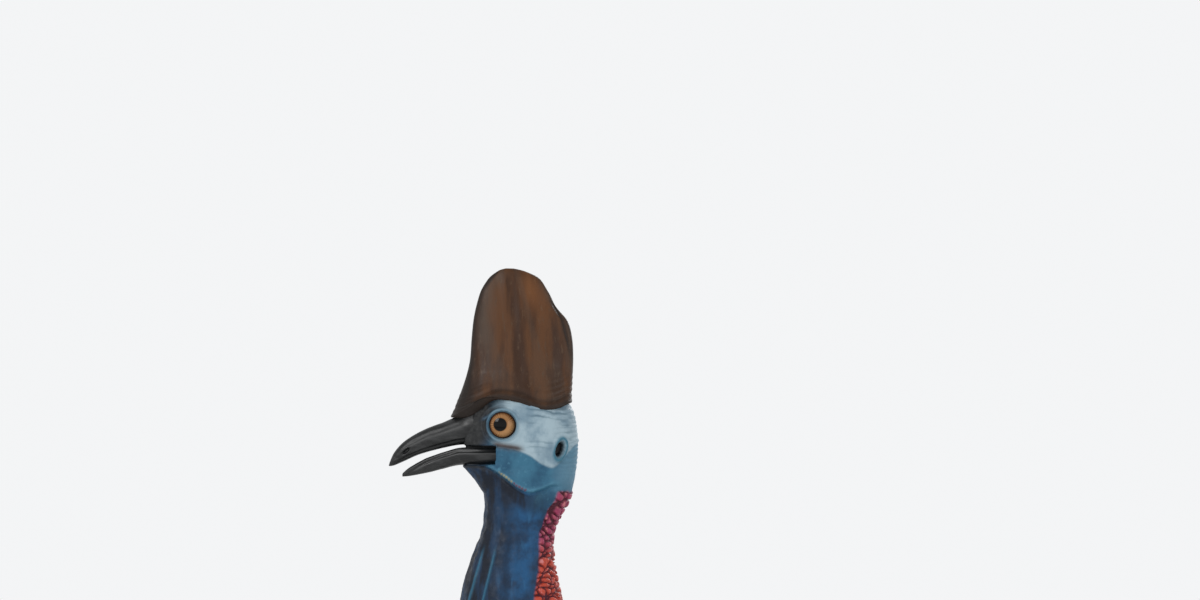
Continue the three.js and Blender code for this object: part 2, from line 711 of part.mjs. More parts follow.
/** Rings of a toe and its claw, from under the shank to the claw's point. */
function toeParts(name, toe) {
  const { reach, claw, turn, radius, clawRadius } = TOES[toe];
  const pad = legCurve(name, SHANK_PLACES).getPoint(1);
  const heading = at(0, -1, 0).applyAxisAngle(
    at(0, 0, 1),
    THREE.MathUtils.degToRad(turn) * SIDES[name],
  );
  const beside = heading.clone().cross(at(0, 0, 1)).normalize();
  const lifted = toe === "inner" ? 16 : 0;
  const centreLine = new THREE.CatmullRomCurve3([
    at(pad.x, pad.y, 30),
    at(pad.x, pad.y, 21).addScaledVector(heading, 0.35 * (reach + 26)),
    at(pad.x, pad.y, 16).addScaledVector(heading, 0.7 * (reach + 26)),
    at(pad.x, pad.y, 12 + lifted * 0.3).addScaledVector(heading, reach + 26),
  ]);
  const ring = (centre, forward, size, flat) =>
    Array.from({ length: TOE.sides }, (_, k) => {
      const a = (k / TOE.sides) * 2 * Math.PI;
      const up = beside.clone().cross(forward).normalize();
      const p = centre
        .clone()
        .addScaledVector(up, Math.cos(a) * size)
        .addScaledVector(beside, Math.sin(a) * size * flat);
      return at(p.x, p.y, Math.max(p.z, 0));
    });
  const flesh = [];
  for (let i = 0; i <= TOE.steps; i++) {
    const share = i / TOE.steps;
    const size = THREE.MathUtils.lerp(radius, TOE.tip, share ** 0.9);
    const swell = TOE.swell * Math.sin(share * TOE.pads * 2 * Math.PI);
    flesh.push(ring(centreLine.getPoint(share), centreLine.getTangent(share), size + swell, TOE.flat));
  }
  const tip = centreLine.getPoint(1);
  const forward = centreLine.getTangent(1);
  const nail = [];
  const nailSteps = 7;
  const point = at(0, 0, 0);
  for (let i = 0; i <= nailSteps; i++) {
    const share = i / nailSteps;
    const arch = (toe === "inner" ? 0.1 : 0.2) * claw * share * (1 - share);
    const fall = (tip.z - 4) * share * share;
    point.copy(tip).addScaledVector(forward, GAP + claw * share).setZ(tip.z + arch - fall);
    if (i < nailSteps) {
      nail.push(ring(point, forward, clawRadius * (1 - share) ** 0.7 + 0.8, 0.72));
    }
  }
  return { flesh: skin(flesh), claw: skin(nail, undefined, point.clone()) };
}

const legs = {};
for (const name of Object.keys(SIDES)) {
  const made = { toes: {} };
  const blocked = [shank(name, GAP)];
  for (const toe of ["middle", "outer", "inner"]) {
    const { flesh, claw } = toeParts(name, toe);
    made.toes[toe] = { flesh: flesh.subtract(joined(blocked)), claw };
    blocked.push(fattened(flesh, GAP));
  }
  legs[name] = made;
}

// Wings: a small knob on each flank with bare quills that arch down over the coat

/** A wing, with everything grown by a distance if asked. */
function wing(side, grow = 0) {
  const root = onTrunk(QUILLS.station, QUILLS.angle * side);
  const knob = ball(
    root.point.clone().addScaledVector(root.normal, 14),
    at(15 + grow, 24 + grow, 19 + grow),
    12,
    8,
  );
  const stem = skin([
    ...[8, 30].map((height) =>
      Array.from({ length: 8 }, (_, k) => {
        const a = (k / 8) * 2 * Math.PI;
        const beside = root.along.clone().cross(root.normal);
        return root.point
          .clone()
          .addScaledVector(root.normal, height)
          .addScaledVector(root.along, Math.cos(a) * (17 + grow))
          .addScaledVector(beside, Math.sin(a) * (17 + grow));
      }),
    ),
  ]);
  const quills = Array.from({ length: QUILLS.count }, (_, i) => {
    const share = i / (QUILLS.count - 1) - 0.5;
    const start = onTrunk(QUILLS.station + share * 0.22, (QUILLS.angle + share * QUILLS.fan * 4) * side);
    const path = lockPath(start, trunkSurface, {
      length: QUILLS.length * (1 - 0.3 * Math.abs(share)),
      sink: -16,
      lift: 0.9,
      droop: 0.18,
      float: QUILLS.float + 2 * i,
      steps: 7,
      down: 1.1 + share * 1.3,
    });
    const rings = path.slice(0, -1).map((p, k) => {
      const ahead = path[k + 1].clone().sub(p).normalize();
      const across = ahead.clone().cross(start.normal).normalize();
      const up = across.clone().cross(ahead);
      const r = QUILLS.radius * (1 - (0.6 * k) / path.length) + grow;
      return Array.from({ length: 4 }, (_, n) => {
        const a = (n / 4) * 2 * Math.PI;
        return p
          .clone()
          .addScaledVector(up, Math.cos(a) * r)
          .addScaledVector(across, Math.sin(a) * r);
      });
    });
    return skin(rings, undefined, path.at(-1));
  });
  return joined([knob, stem, ...quills]);
}

/** The trunk's skin grown by the gap, to keep a wing's root off the body. */
const trunkGrown = trunkPiece(STATION.neckEnd, STATION.last, 17, 20, GAP);

const bodyCore = trunkPiece(STATION.neckEnd - 0.2, STATION.last, 17, 20);
const clearings = joined([
  ...Object.keys(SIDES).map((name) => drumstick(name, GAP)),
  ...Object.values(SIDES).map((side) => wing(side, GAP)),
]);
const body = largest(
  partOf(joined([bodyCore, ...bodyLocks()]), STATION.neckEnd, false).subtract(clearings),
);
add("torso", body, MATERIALS.coat);

for (const [name, side] of Object.entries(SIDES)) {
  add("wing_" + name, wing(side).subtract(trunkGrown), MATERIALS.quill);
  const leg = joined([drumstick(name), ...drumstickLocks(name, body)]);
  add("drumstick_" + name, leg.subtract(shank(name, GAP)), MATERIALS.coat);
  add("shank_" + name, shank(name), MATERIALS.scale);
  for (const [toe, { flesh, claw }] of Object.entries(legs[name].toes)) {
    add(`toe_${toe}_${name}`, flesh, MATERIALS.scale);
    add(`claw_${toe}_${name}`, claw, MATERIALS.claw);
  }
}

// The origin is on the floor, under the middle of the whole bird.
const extent = new THREE.Box3().setFromObject(bird);
const middle = extent.getCenter(at(0, 0, 0));
bird.position.set(-middle.x, -middle.y, -extent.min.z);

export default bird;
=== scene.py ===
"""An adult southern cassowary, dressed over its solid parts.

All sizes are in millimetres in the bird's own drawing frame: the bird faces -Y, its left side is +X, and the
floor is z = 0. The solid parts give the shift from there to the shared frame.
"""
import logging
from dataclasses import dataclass, field
from enum import Enum
from typing import Sequence

import bmesh
import bpy
import numpy as np
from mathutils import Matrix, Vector, kdtree


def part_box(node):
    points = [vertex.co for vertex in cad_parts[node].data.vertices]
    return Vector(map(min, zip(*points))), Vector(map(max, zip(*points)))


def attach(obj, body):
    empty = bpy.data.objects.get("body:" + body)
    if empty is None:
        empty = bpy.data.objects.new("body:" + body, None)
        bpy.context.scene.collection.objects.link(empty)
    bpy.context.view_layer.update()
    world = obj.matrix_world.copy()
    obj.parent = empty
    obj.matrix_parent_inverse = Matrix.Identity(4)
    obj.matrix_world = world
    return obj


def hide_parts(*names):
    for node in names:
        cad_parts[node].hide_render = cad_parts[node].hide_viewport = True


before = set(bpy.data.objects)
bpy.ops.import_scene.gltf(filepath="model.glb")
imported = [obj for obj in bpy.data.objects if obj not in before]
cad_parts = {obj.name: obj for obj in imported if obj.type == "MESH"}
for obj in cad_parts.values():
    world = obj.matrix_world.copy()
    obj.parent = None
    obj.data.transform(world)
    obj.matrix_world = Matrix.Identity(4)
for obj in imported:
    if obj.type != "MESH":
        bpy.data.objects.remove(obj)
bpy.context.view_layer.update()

log = logging.getLogger("cassowary")
Array = np.ndarray
Object = bpy.types.Object
Material = bpy.types.Material
Socket = bpy.types.NodeSocket
Row = tuple[float, ...]
Span = tuple[float, float]
Color = tuple[float, float, float]
Tone = Socket | Color
TAU = 2 * np.pi
MM = 1000


class Side(Enum):
    """The two sides of the bird, with the sign of X on each."""

    left = 1
    right = -1


# Curves and noise


def spline(rows: Sequence[float], place: Array) -> Array:
    """Reads a smooth curve through evenly spaced values.

    Args:
        rows: The values, one for each whole place.
        place: Where to read, counted in rows.

    Returns:
        The value at each place.
    """
    values = np.asarray(rows, float)
    last = len(values) - 1
    t = np.clip(np.asarray(place, float), 0, last)
    i = np.minimum(t.astype(int), last - 1)
    f = t - i
    p0, p1 = values[np.maximum(i - 1, 0)], values[i]
    p2, p3 = values[i + 1], values[np.minimum(i + 2, last)]
    p0 = np.where(i == 0, p1, p0)
    p3 = np.where(i + 2 > last, p2, p3)
    v0, v1 = (p2 - p0) / 2, (p3 - p1) / 2
    return (2 * p1 - 2 * p2 + v0 + v1) * f**3 + (-3 * p1 + 3 * p2 - 2 * v0 - v1) * f**2 + v0 * f + p1


def smooth(edge0: float, edge1: float, value: Array) -> Array:
    """Rises smoothly from 0 at the first edge to 1 at the second."""
    t = np.clip((np.asarray(value, float) - edge0) / (edge1 - edge0), 0, 1)
    return t * t * (3 - 2 * t)


def hill(value: Array, width: float) -> Array:
    """A smooth bump of 1 at zero that fades over a width."""
    return np.exp(-((np.asarray(value, float) / width) ** 2))


def turns(count: int) -> Array:
    """Evenly spaced angles round one full turn."""
    return np.arange(count) / count * TAU


def unit(vectors: Array) -> Array:
    """Vectors of length one."""
    return vectors / np.maximum(np.linalg.norm(vectors, axis=-1, keepdims=True), 1e-9)


HASH_STEPS = (374761393, 668265263, 2147483647)
HASH_MIX = 1274126177
WORD = 0xFFFFFFFF
HALF_WORD = 0xFFFF


def lattice(spots: Array, seed: int) -> Array:
    """A repeatable draw between 0 and 1 for whole-number spots.

    Args:
        spots: Spots, three whole numbers each.
        seed: Picks one set of draws.

    Returns:
        One draw for each spot.
    """
    total = sum(spots[..., k].astype(np.int64) * step for k, step in enumerate(HASH_STEPS))
    mixed = (total + seed * HASH_MIX) & WORD
    mixed = ((mixed ^ (mixed >> 13)) * HASH_MIX) & WORD
    return ((mixed ^ (mixed >> 16)) & HALF_WORD) / float(HALF_WORD)


def noise(points: Array, size: float, seed: int = 0) -> Array:
    """Smooth noise between -1 and 1.

    Args:
        points: Points, three numbers each.
        size: How far apart its bumps lie.
        seed: Picks one pattern.

    Returns:
        One value for each point.
    """
    q = points / size
    base = np.floor(q)
    f = q - base
    f = f * f * (3 - 2 * f)
    total = np.zeros(len(points))
    for corner in np.ndindex(2, 2, 2):
        weight = np.prod([f[:, k] if corner[k] else 1 - f[:, k] for k in range(3)], axis=0)
        total += weight * lattice(base + np.array(corner), seed)
    return total * 2 - 1


CELL_JITTER = 0.38
FAR_AWAY = 9.0


def cells(points: Array, size: float, seed: int = 0) -> tuple[Array, Array]:
    """Distances to the nearest two of a jittered set of points, for knobs and scales.

    Args:
        points: Points, three numbers each.
        size: The spacing of the set.
        seed: Picks one pattern.

    Returns:
        The distances to the nearest and the second nearest, as shares of the spacing.
    """
    q = points / size
    base = np.floor(q)
    near = np.full(len(points), FAR_AWAY)
    second = np.full(len(points), FAR_AWAY)
    for step in np.ndindex(3, 3, 3):
        cell = base + np.array(step) - 1
        jitter = np.stack([lattice(cell, seed + k) for k in range(3)], axis=1) * 2 - 1
        d = np.linalg.norm(q - (cell + 0.5 + CELL_JITTER * jitter), axis=1)
        second = np.minimum(second, np.maximum(d, near))
        near = np.minimum(near, d)
    return near, second


# The drawing frame


def node_middle(name: str) -> Array:
    """The middle of a solid part's box, in millimetres of the shared frame."""
    corners = np.array([tuple(c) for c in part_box(name)])
    return (corners.min(axis=0) + corners.max(axis=0)) / 2 * MM


EYE_Y, EYE_Z = -283.0, 1531.0
EYES_MIDDLE = (node_middle("eye_left") + node_middle("eye_right")) / 2
SHIFT = np.array([EYES_MIDDLE[0], EYES_MIDDLE[1] - EYE_Y, 0.0])


def to_frame(points: Array) -> Array:
    """Points of the drawing frame in metres of the shared frame."""
    return (np.asarray(points, float) + SHIFT) / MM


def from_frame(points: Array) -> Array:
    """Points of the shared frame in millimetres of the drawing frame."""
    return np.asarray(points, float) * MM - SHIFT


# Meshes


def mesh_object(name: str, points: Array, faces: Sequence[Sequence[int]]) -> Object:
    """Makes a smooth-shaded object from points of the drawing frame.

    Args:
        name: The piece's name.
        points: Its corners.
        faces: Its faces, as rows of corner numbers.

    Returns:
        The new object.
    """
    mesh = bpy.data.meshes.new(name)
    mesh.from_pydata(to_frame(points).tolist(), [], [tuple(map(int, f)) for f in faces])
    mesh.validate()
    mesh.polygons.foreach_set("use_smooth", [True] * len(mesh.polygons))
    thing = bpy.data.objects.new(name, mesh)
    bpy.context.scene.collection.objects.link(thing)
    return thing


def tube_faces(rings: int, sides: int) -> list[tuple[int, ...]]:
    """Faces of a closed tube: quads between its rings and one face at each end.

    Args:
        rings: How many rings it has.
        sides: How many corners each ring has.

    Returns:
        The faces, as rows of corner numbers.
    """
    faces: list[tuple[int, ...]] = []
    for r in range(rings - 1):
        for i in range(sides):
            a, b = r * sides + i, r * sides + (i + 1) % sides
            faces.append((a, b, b + sides, a + sides))
    faces.append(tuple(reversed(range(sides))))
    faces.append(tuple((rings - 1) * sides + i for i in range(sides)))
    return faces


def loft(name: str, rings: Array) -> Object:
    """A closed smooth object through rings, with its faces turned out.

    Args:
        name: The piece's name.
        rings: An array of rings by corners by three numbers.

    Returns:
        The new object.
    """
    count, sides, _ = rings.shape
    thing = mesh_object(name, rings.reshape(-1, 3), tube_faces(count, sides))
    work = bmesh.new()
    work.from_mesh(thing.data)
    bmesh.ops.recalc_face_normals(work, faces=work.faces)
    work.to_mesh(thing.data)
    work.free()
    return thing


def joined(name: str, things: Sequence[Object]) -> Object:
    """Joins objects into the first one and names it.

    Args:
        name: The name of the whole.
        things: The objects.

    Returns:
        The first object, with the others in it.
    """
    with bpy.context.temp_override(active_object=things[0], selected_editable_objects=list(things)):
        bpy.ops.object.join()
    things[0].name = name
    things[0].data.name = name
    return things[0]


def remeshed(thing: Object, voxel: float, soften: int) -> Object:
    """One closed surface round everything in an object, with its creases softened.

    Args:
        thing: The object.
        voxel: The size of the new faces.
        soften: How many rounds of smoothing follow.

    Returns:
        The same object with its new mesh.
    """
    remesh = thing.modifiers.new("one_skin", "REMESH")
    remesh.mode = "VOXEL"
    remesh.voxel_size = voxel / MM
    remesh.use_smooth_shade = True
    soft = thing.modifiers.new("soften", "SMOOTH")
    soft.iterations = soften
    soft.factor = 0.5
    graph = bpy.context.evaluated_depsgraph_get()
    made = bpy.data.meshes.new_from_object(thing.evaluated_get(graph))
    thing.modifiers.clear()
    old = thing.data
    thing.data = made
    bpy.data.meshes.remove(old)
    return thing


def corner_values(thing: Object, kind: str) -> Array:
    """Three numbers for each corner of an object.

    Args:
        thing: The object.
        kind: Which numbers, co for places or normal for the ways out.

    Returns:
        One row for each corner.
    """
    flat = np.empty(len(thing.data.vertices) * 3)
    thing.data.vertices.foreach_get(kind, flat)
    return flat.reshape(-1, 3)


def set_points(thing: Object, points: Array) -> None:
    """Moves an object's corners to points of the drawing frame."""
    thing.data.vertices.foreach_set("co", to_frame(points).ravel())
    thing.data.update()


def mark(thing: Object, name: str, values: Array) -> None:
    """Stores one number for each corner, which a material reads by name."""
    layer = thing.data.attributes.new(name, "FLOAT", "POINT")
    layer.data.foreach_set("value", np.asarray(values, np.float32))


def mark_all(thing: Object, name: str, value: float) -> None:
    """Stores the same number for every corner."""
    mark(thing, name, np.full(len(thing.data.vertices), value))


class Relief:
    """Heights and colour masks, gathered over a mesh and then applied together."""

    def __init__(self, thing: Object) -> None:
        """Starts with no height and no mask; x, y and z follow the points when these move.

        Args:
            thing: The piece.
        """
        self.thing = thing
        self.points = from_frame(corner_values(thing, "co"))
        self.x, self.y, self.z = self.points.T
        self.beside = np.abs(self.x)
        self.lift = np.zeros(len(self.points))
        self.masks: dict[str, Array] = {}

    def noise(self, size: float, seed: int, squeeze: Row = (1, 1, 1)) -> Array:
        """Noise at the corners, squeezed along each axis."""
        return noise(self.points * np.array(squeeze), size, seed)

    def finish(self) -> None:
        """Moves each corner along its normal by its height and stores the masks."""
        points = from_frame(corner_values(self.thing, "co"))
        set_points(self.thing, points + corner_values(self.thing, "normal") * self.lift[:, None])
        for name, values in self.masks.items():
            mark(self.thing, name, np.clip(values, 0, 1))


# Slices, as in the solid parts


@dataclass(frozen=True)
class Form:
    """A smooth body through a table of slices.

    Each row has a back point (y, z), a front point (y, z) and a half width.
    """

    rows: tuple[Row, ...]
    fullness: float = 2.2

    def slice_at(self, place: Array) -> tuple[Array, Array, Array]:
        """Reads the table between its rows.

        Args:
            place: Places along the table.

        Returns:
            The back points, the front points and the half widths.
        """
        table = np.array(self.rows)
        cols = [spline(table[:, k], np.asarray(place, float)) for k in range(5)]
        none = np.zeros_like(cols[0])
        back = np.stack([none, cols[0], cols[1]], axis=-1)
        front = np.stack([none, cols[2], cols[3]], axis=-1)
        return back, front, cols[4]

    def points(self, place: Array, angle: Array, grow: float = 0.0, fuller: float | Array = 0.0) -> Array:
        """Points on the body.

        Args:
            place: Places along the table.
            angle: Angles from the back, of the same shape.
            grow: How far outside the body the points lie.
            fuller: How much squarer than the rest the slices are.

        Returns:
            The points, with three numbers on the last axis.
        """
        back, front, half = self.slice_at(place)
        middle, reach = (back + front) / 2, (back - front) / 2
        deep = np.linalg.norm(reach, axis=-1)
        power = 2 / (self.fullness + fuller)
        up = np.sign(np.cos(angle)) * np.abs(np.cos(angle)) ** power
        out = np.sign(np.sin(angle)) * np.abs(np.sin(angle)) ** power
        reach = reach / np.maximum(deep, 1e-6)[..., None]
        spot = middle + reach * (up * (deep + grow))[..., None]
        spot[..., 0] += out * (half + grow)
        return spot

    def rings(self, span: Span, count: int, sides: int, grow: float = 0.0) -> Array:
        """Rings of points over a span of places."""
        place, angle = np.meshgrid(np.linspace(*span, count), turns(sides), indexing="ij")
        return self.points(place, angle, grow)

    def whole(self) -> Span:
        """The span of places from the first row to the last."""
        return 0, len(self.rows) - 1


TRUNK = Form(
    (
        (-228, 1566, -262, 1566, 13),
        (-208, 1548, -281, 1541, 27),
        (-202, 1512, -296, 1500, 33),
        (-205, 1476, -305, 1474, 34),
        (-212, 1450, -303, 1450, 33),
        (-228, 1418, -305, 1420, 33),
        (-229, 1385, -318, 1384, 38),
        (-220, 1342, -329, 1342, 44),
        (-200, 1270, -336, 1262, 53),
        (-168, 1190, -330, 1160, 66),
        (-118, 1112, -320, 1052, 90),
        (-48, 1050, -306, 935, 124),
        (44, 1022, -262, 782, 160),
        (150, 1018, -176, 664, 182),
        (262, 992, -36, 606, 187),
        (368, 936, 116, 600, 170),
        (452, 856, 262, 628, 132),
        (500, 766, 386, 672, 76),
        (500, 716, 462, 702, 18),
    ),
    2.25,
)
HEAD = Form(
    (
        (-322, 1546, -326, 1486, 17),
        (-304, 1562, -314, 1472, 24.5),
        (-281, 1573, -302, 1456, 30),
        (-256, 1574, -284, 1449, 33.5),
        (-234, 1566, -256, 1450, 34.5),
        (-216, 1545, -232, 1460, 29),
        (-209, 1520, -214, 1490, 12),
    ),
    2.5,
)

# The casque's rim: its ends along the head, its front height, its slope and its arch

RIM_FRONT, RIM_REAR = -339.0, -209.0
RIM_Z, RIM_SLOPE = 1539.0, 16.0
RIM_ARCH = (0, 8, 15.5, 14, 8, -1.5, -4, 0)


def rim_rise(share: Array) -> Array:
    """How far the casque's rim rises above a straight line, from its front (0) to its rear (1)."""
    return spline(RIM_ARCH, np.clip(share, 0, 1) * (len(RIM_ARCH) - 1))


def rim_height(share: Array) -> Array:
    """The height of the casque's rim at each share of the way from its front to its rear."""
    return RIM_Z + RIM_SLOPE * share + rim_rise(share)


# Finishes


class Shader:
    """Builds one material from nodes."""

    def __init__(self, name: str) -> None:
        """Starts a material with a plain surface shader.

        Args:
            name: The material's name.
        """
        self.material = bpy.data.materials.new(name)
        self.material.use_nodes = True
        self.tree = self.material.node_tree
        self.surface = self.tree.nodes["Principled BSDF"]

    def node(self, kind: str, **settings: object) -> bpy.types.Node:
        """Adds a node.

        Args:
            kind: The node's type.
            settings: Its settings by name.

        Returns:
            The node.
        """
        made = self.tree.nodes.new(kind)
        for key, value in settings.items():
            setattr(made, key, value)
        return made

    def link(self, source: Socket, target: Socket) -> None:
        """Connects two sockets."""
        self.tree.links.new(source, target)

    def attribute(self, name: str) -> Socket:
        """A number stored on the mesh."""
        return self.node("ShaderNodeAttribute", attribute_name=name).outputs["Fac"]

    def grain(self, scale: float, detail: float, rough: float, squeeze: Row = (1, 1, 1)) -> Socket:
        """Noise over the surface.

        Args:
            scale: Bumps to the metre.
            detail: Octaves of finer noise.
            rough: How strong the finer noise is.
            squeeze: Squeezes the pattern along each axis.

        Returns:
            The noise, about one half.
        """
        place = self.node("ShaderNodeTexCoord")
        mapping = self.node("ShaderNodeMapping")
        mapping.inputs["Scale"].default_value = squeeze
        self.link(place.outputs["Object"], mapping.inputs["Vector"])
        made = self.node("ShaderNodeTexNoise")
        for name, number in (("Scale", scale), ("Detail", detail), ("Roughness", rough)):
            made.inputs[name].default_value = number
        self.link(mapping.outputs["Vector"], made.inputs["Vector"])
        return made.outputs["Fac"]

    def between(self, value: Socket, span: Span, result: Span = (0.0, 1.0)) -> Socket:
        """Maps a span of numbers smoothly onto another.

        Args:
            value: The number to map.
            span: Where it starts and stops counting.
            result: What it gives at both.

        Returns:
            The mapped number.
        """
        made = self.node("ShaderNodeMapRange", interpolation_type="SMOOTHSTEP")
        for name, number in zip(("From Min", "From Max", "To Min", "To Max"), (*span, *result)):
            made.inputs[name].default_value = number
        self.link(value, made.inputs["Value"])
        return made.outputs["Result"]

    def mixed(self, share: Socket, low: Tone, high: Tone) -> Socket:
        """Mixes two colours.

        Args:
            share: How much of the second there is.
            low: The first colour.
            high: The second colour.

        Returns:
            The mixed colour.
        """
        made = self.node("ShaderNodeMix", data_type="RGBA")
        self.link(share, made.inputs["Factor"])
        for source, target in ((low, made.inputs[6]), (high, made.inputs[7])):
            if isinstance(source, tuple):
                target.default_value = (*source, 1)
            else:
                self.link(source, target)
        return made.outputs[2]

    def mottled(self, grain: Socket, span: Span, low: Tone, high: Tone) -> Socket:
        """Mixes two colours by noise, over a span of it."""
        return self.mixed(self.between(grain, span), low, high)

    def layered(self, hue: Tone, layers: dict[str, Tone]) -> Socket:
        """Lays colours over a colour, in order.

        Args:
            hue: The colour below.
            layers: A colour for each stored number, which says where it lies.

        Returns:
            The colour with all layers on.
        """
        for name, tone in layers.items():
            hue = self.mixed(self.attribute(name), hue, tone)
        return hue

    def times(self, first: Socket, second: Socket) -> Socket:
        """The product of two numbers.

        Args:
            first: One number.
            second: The other.

        Returns:
            Their product.
        """
        made = self.node("ShaderNodeMath", operation="MULTIPLY")
        self.link(first, made.inputs[0])
        self.link(second, made.inputs[1])
        return made.outputs["Value"]

    def color(self, source: Socket) -> None:
        """Sets the surface's colour."""
        self.link(source, self.surface.inputs["Base Color"])

    def roughness(self, source: Socket) -> None:
        """Sets the surface's roughness."""
        self.link(source, self.surface.inputs["Roughness"])

    def set(self, **numbers: float) -> None:
        """Sets plain numbers on the surface, named with underscores for spaces."""
        for name, number in numbers.items():
            self.surface.inputs[name.replace("_", " ")].default_value = number

    def bump(self, height: Socket, depth: float, strength: float) -> None:
        """Roughens the surface, over any bump that it has already.

        Args:
            height: How high it stands.
            depth: How deep that is, in millimetres.
            strength: How much of it shows.
        """
        made = self.node("ShaderNodeBump")
        made.inputs["Strength"].default_value = strength
        made.inputs["Distance"].default_value = depth / MM
        self.link(height, made.inputs["Height"])
        before = self.surface.inputs["Normal"]
        if before.is_linked:
            self.link(before.links[0].from_socket, made.inputs["Normal"])
        self.link(made.outputs["Normal"], before)


@dataclass(frozen=True)
class SkinFinish:
    """Bare skin: pale blue cheek, turquoise jaw, deep blue neck, black lores and red nape."""

    pale: Color = (0.35, 0.46, 0.52)
    pale_dark: Color = (0.17, 0.26, 0.33)
    jaw: Color = (0.015, 0.076, 0.145)
    jaw_light: Color = (0.036, 0.145, 0.235)
    jaw_fleck: Color = (0.07, 0.21, 0.31)
    jaw_rear: Color = (0.1, 0.225, 0.32)
    neck: Color = (0.006, 0.028, 0.07)
    neck_light: Color = (0.01, 0.08, 0.2)
    neck_streak: Color = (0.022, 0.12, 0.26)
    # Darkest at the front of the throat, and painted shade under the jowl fold.
    throat: Color = (0.003, 0.007, 0.017)
    black: Color = (0.012, 0.013, 0.014)
    black_light: Color = (0.035, 0.036, 0.037)
    # Painted shade in the wrinkles' valleys and at the eye socket's edge.
    crease: Color = (0.05, 0.11, 0.155)
    # The blue lid rings, and a painted highlight along the brow.
    lid: Color = (0.15, 0.25, 0.32)
    # Painted shade in the ear opening.
    ear: Color = (0.004, 0.006, 0.009)
    ear_rim: Color = (0.035, 0.15, 0.22)
    # A painted highlight along the top of the jowl fold.
    shine: Color = (0.1, 0.28, 0.4)
    stripe: Color = (0.025, 0.13, 0.22)
    gape: Color = (0.09, 0.075, 0.075)
    yellow: Color = (0.36, 0.3, 0.14)
    red: Color = (0.16, 0.02, 0.035)
    nape_top: Color = (0.34, 0.045, 0.11)
    nape_low: Color = (0.5, 0.06, 0.03)
    nape_light: Color = (0.66, 0.22, 0.22)
    # Painted shade in the gaps between the knobs.
    nape_gap_shade: Color = (0.07, 0.008, 0.02)
    wattle: Color = (0.27, 0.013, 0.013)
    wattle_light: Color = (0.44, 0.045, 0.04)
    down: Color = (0.012, 0.01, 0.009)

    def build(self) -> Material:
        """Makes the material.

        Returns:
            The material.
        """
        s = Shader("bare_skin")
        fine = s.grain(160, 5, 0.6)
        broad = s.grain(38, 4, 0.55)
        streak = s.grain(70, 4, 0.6, (1, 1, 0.22))
        neck = s.mottled(broad, (0.38, 0.66), self.neck, self.neck_light)
        neck = s.mottled(streak, (0.54, 0.72), neck, self.neck_streak)
        # The dark layer: the darker front of the throat, and painted shade under the jowl fold.
        neck = s.layered(neck, {"dark": s.mottled(streak, (0.42, 0.62), self.throat, self.neck)})
        jaw = s.mottled(broad, (0.35, 0.66), self.jaw, self.jaw_light)
        jaw = s.mottled(fine, (0.54, 0.76), jaw, self.jaw_fleck)
        jaw = s.layered(jaw, {"rear": self.jaw_rear})
        nape = s.layered(self.nape_top, {"low": self.nape_low})
        nape = s.mottled(fine, (0.5, 0.72), nape, self.nape_light)
        nape = s.layered(nape, {"knob_gap_shade": self.nape_gap_shade})
        layers = {
            "jaw": jaw,
            "pale": s.mottled(broad, (0.3, 0.6), self.pale_dark, self.pale),
            "crease": self.crease,
            "shine": self.shine,
            "ear_rim": self.ear_rim,
            "stripe": self.stripe,
            "lid": self.lid,
            "black": s.mottled(fine, (0.45, 0.7), self.black, self.black_light),
            "gape": self.gape,
            "yellow": self.yellow,
            "red": self.red,
            "nape": nape,
            "wattle": s.mottled(fine, (0.4, 0.7), self.wattle, self.wattle_light),
            "ear": self.ear,
            "down": self.down,
        }
        s.color(s.layered(neck, layers))
        s.roughness(s.between(fine, (0.3, 0.7), (0.42, 0.62)))
        s.set(Specular_IOR_Level=0.3)
        s.bump(s.grain(900, 3, 0.6), depth=0.25, strength=0.55)
        s.bump(fine, depth=0.9, strength=0.5)
        return s.material


@dataclass(frozen=True)
class CasqueFinish:
    """Dull brown horn with upright streaks, darker along its edges, with painted shade in its grooves and
    just above its rim and a painted orange highlight near the top.
    """

    brown: Color = (0.045, 0.019, 0.009)
    warm: Color = (0.1, 0.041, 0.0155)
    fleck: Color = (0.088, 0.05, 0.029)
    grey: Color = (0.072, 0.056, 0.044)
    # Darker edges, and painted shade in the grooves and just above the rim.
    dark: Color = (0.02, 0.014, 0.011)
    # A painted highlight near the top.
    orange_highlight: Color = (0.19, 0.072, 0.022)

    def build(self) -> Material:
        """Makes the material.

        Returns:
            The material.
        """
        s = Shader("casque_horn")
        streak = s.grain(52, 5, 0.55, (1, 1, 0.16))
        fine = s.grain(240, 4, 0.6, (1, 1, 0.3))
        hue = s.mottled(streak, (0.4, 0.64), self.brown, self.warm)
        hue = s.mottled(fine, (0.55, 0.75), hue, self.fleck)
        # The groove layer is painted shade, the dark layer is partly painted shadow and the orange layer is a
        # painted highlight.
        layers = {"orange_highlight": self.orange_highlight, "grey": self.grey, "groove": self.dark, "dark": self.dark}
        s.color(s.layered(hue, layers))
        s.roughness(s.between(streak, (0.35, 0.65), (0.36, 0.55)))
        s.set(Specular_IOR_Level=0.22)
        s.bump(streak, depth=1.4, strength=0.5)
        s.bump(s.grain(600, 3, 0.6), depth=0.2, strength=0.4)
        return s.material


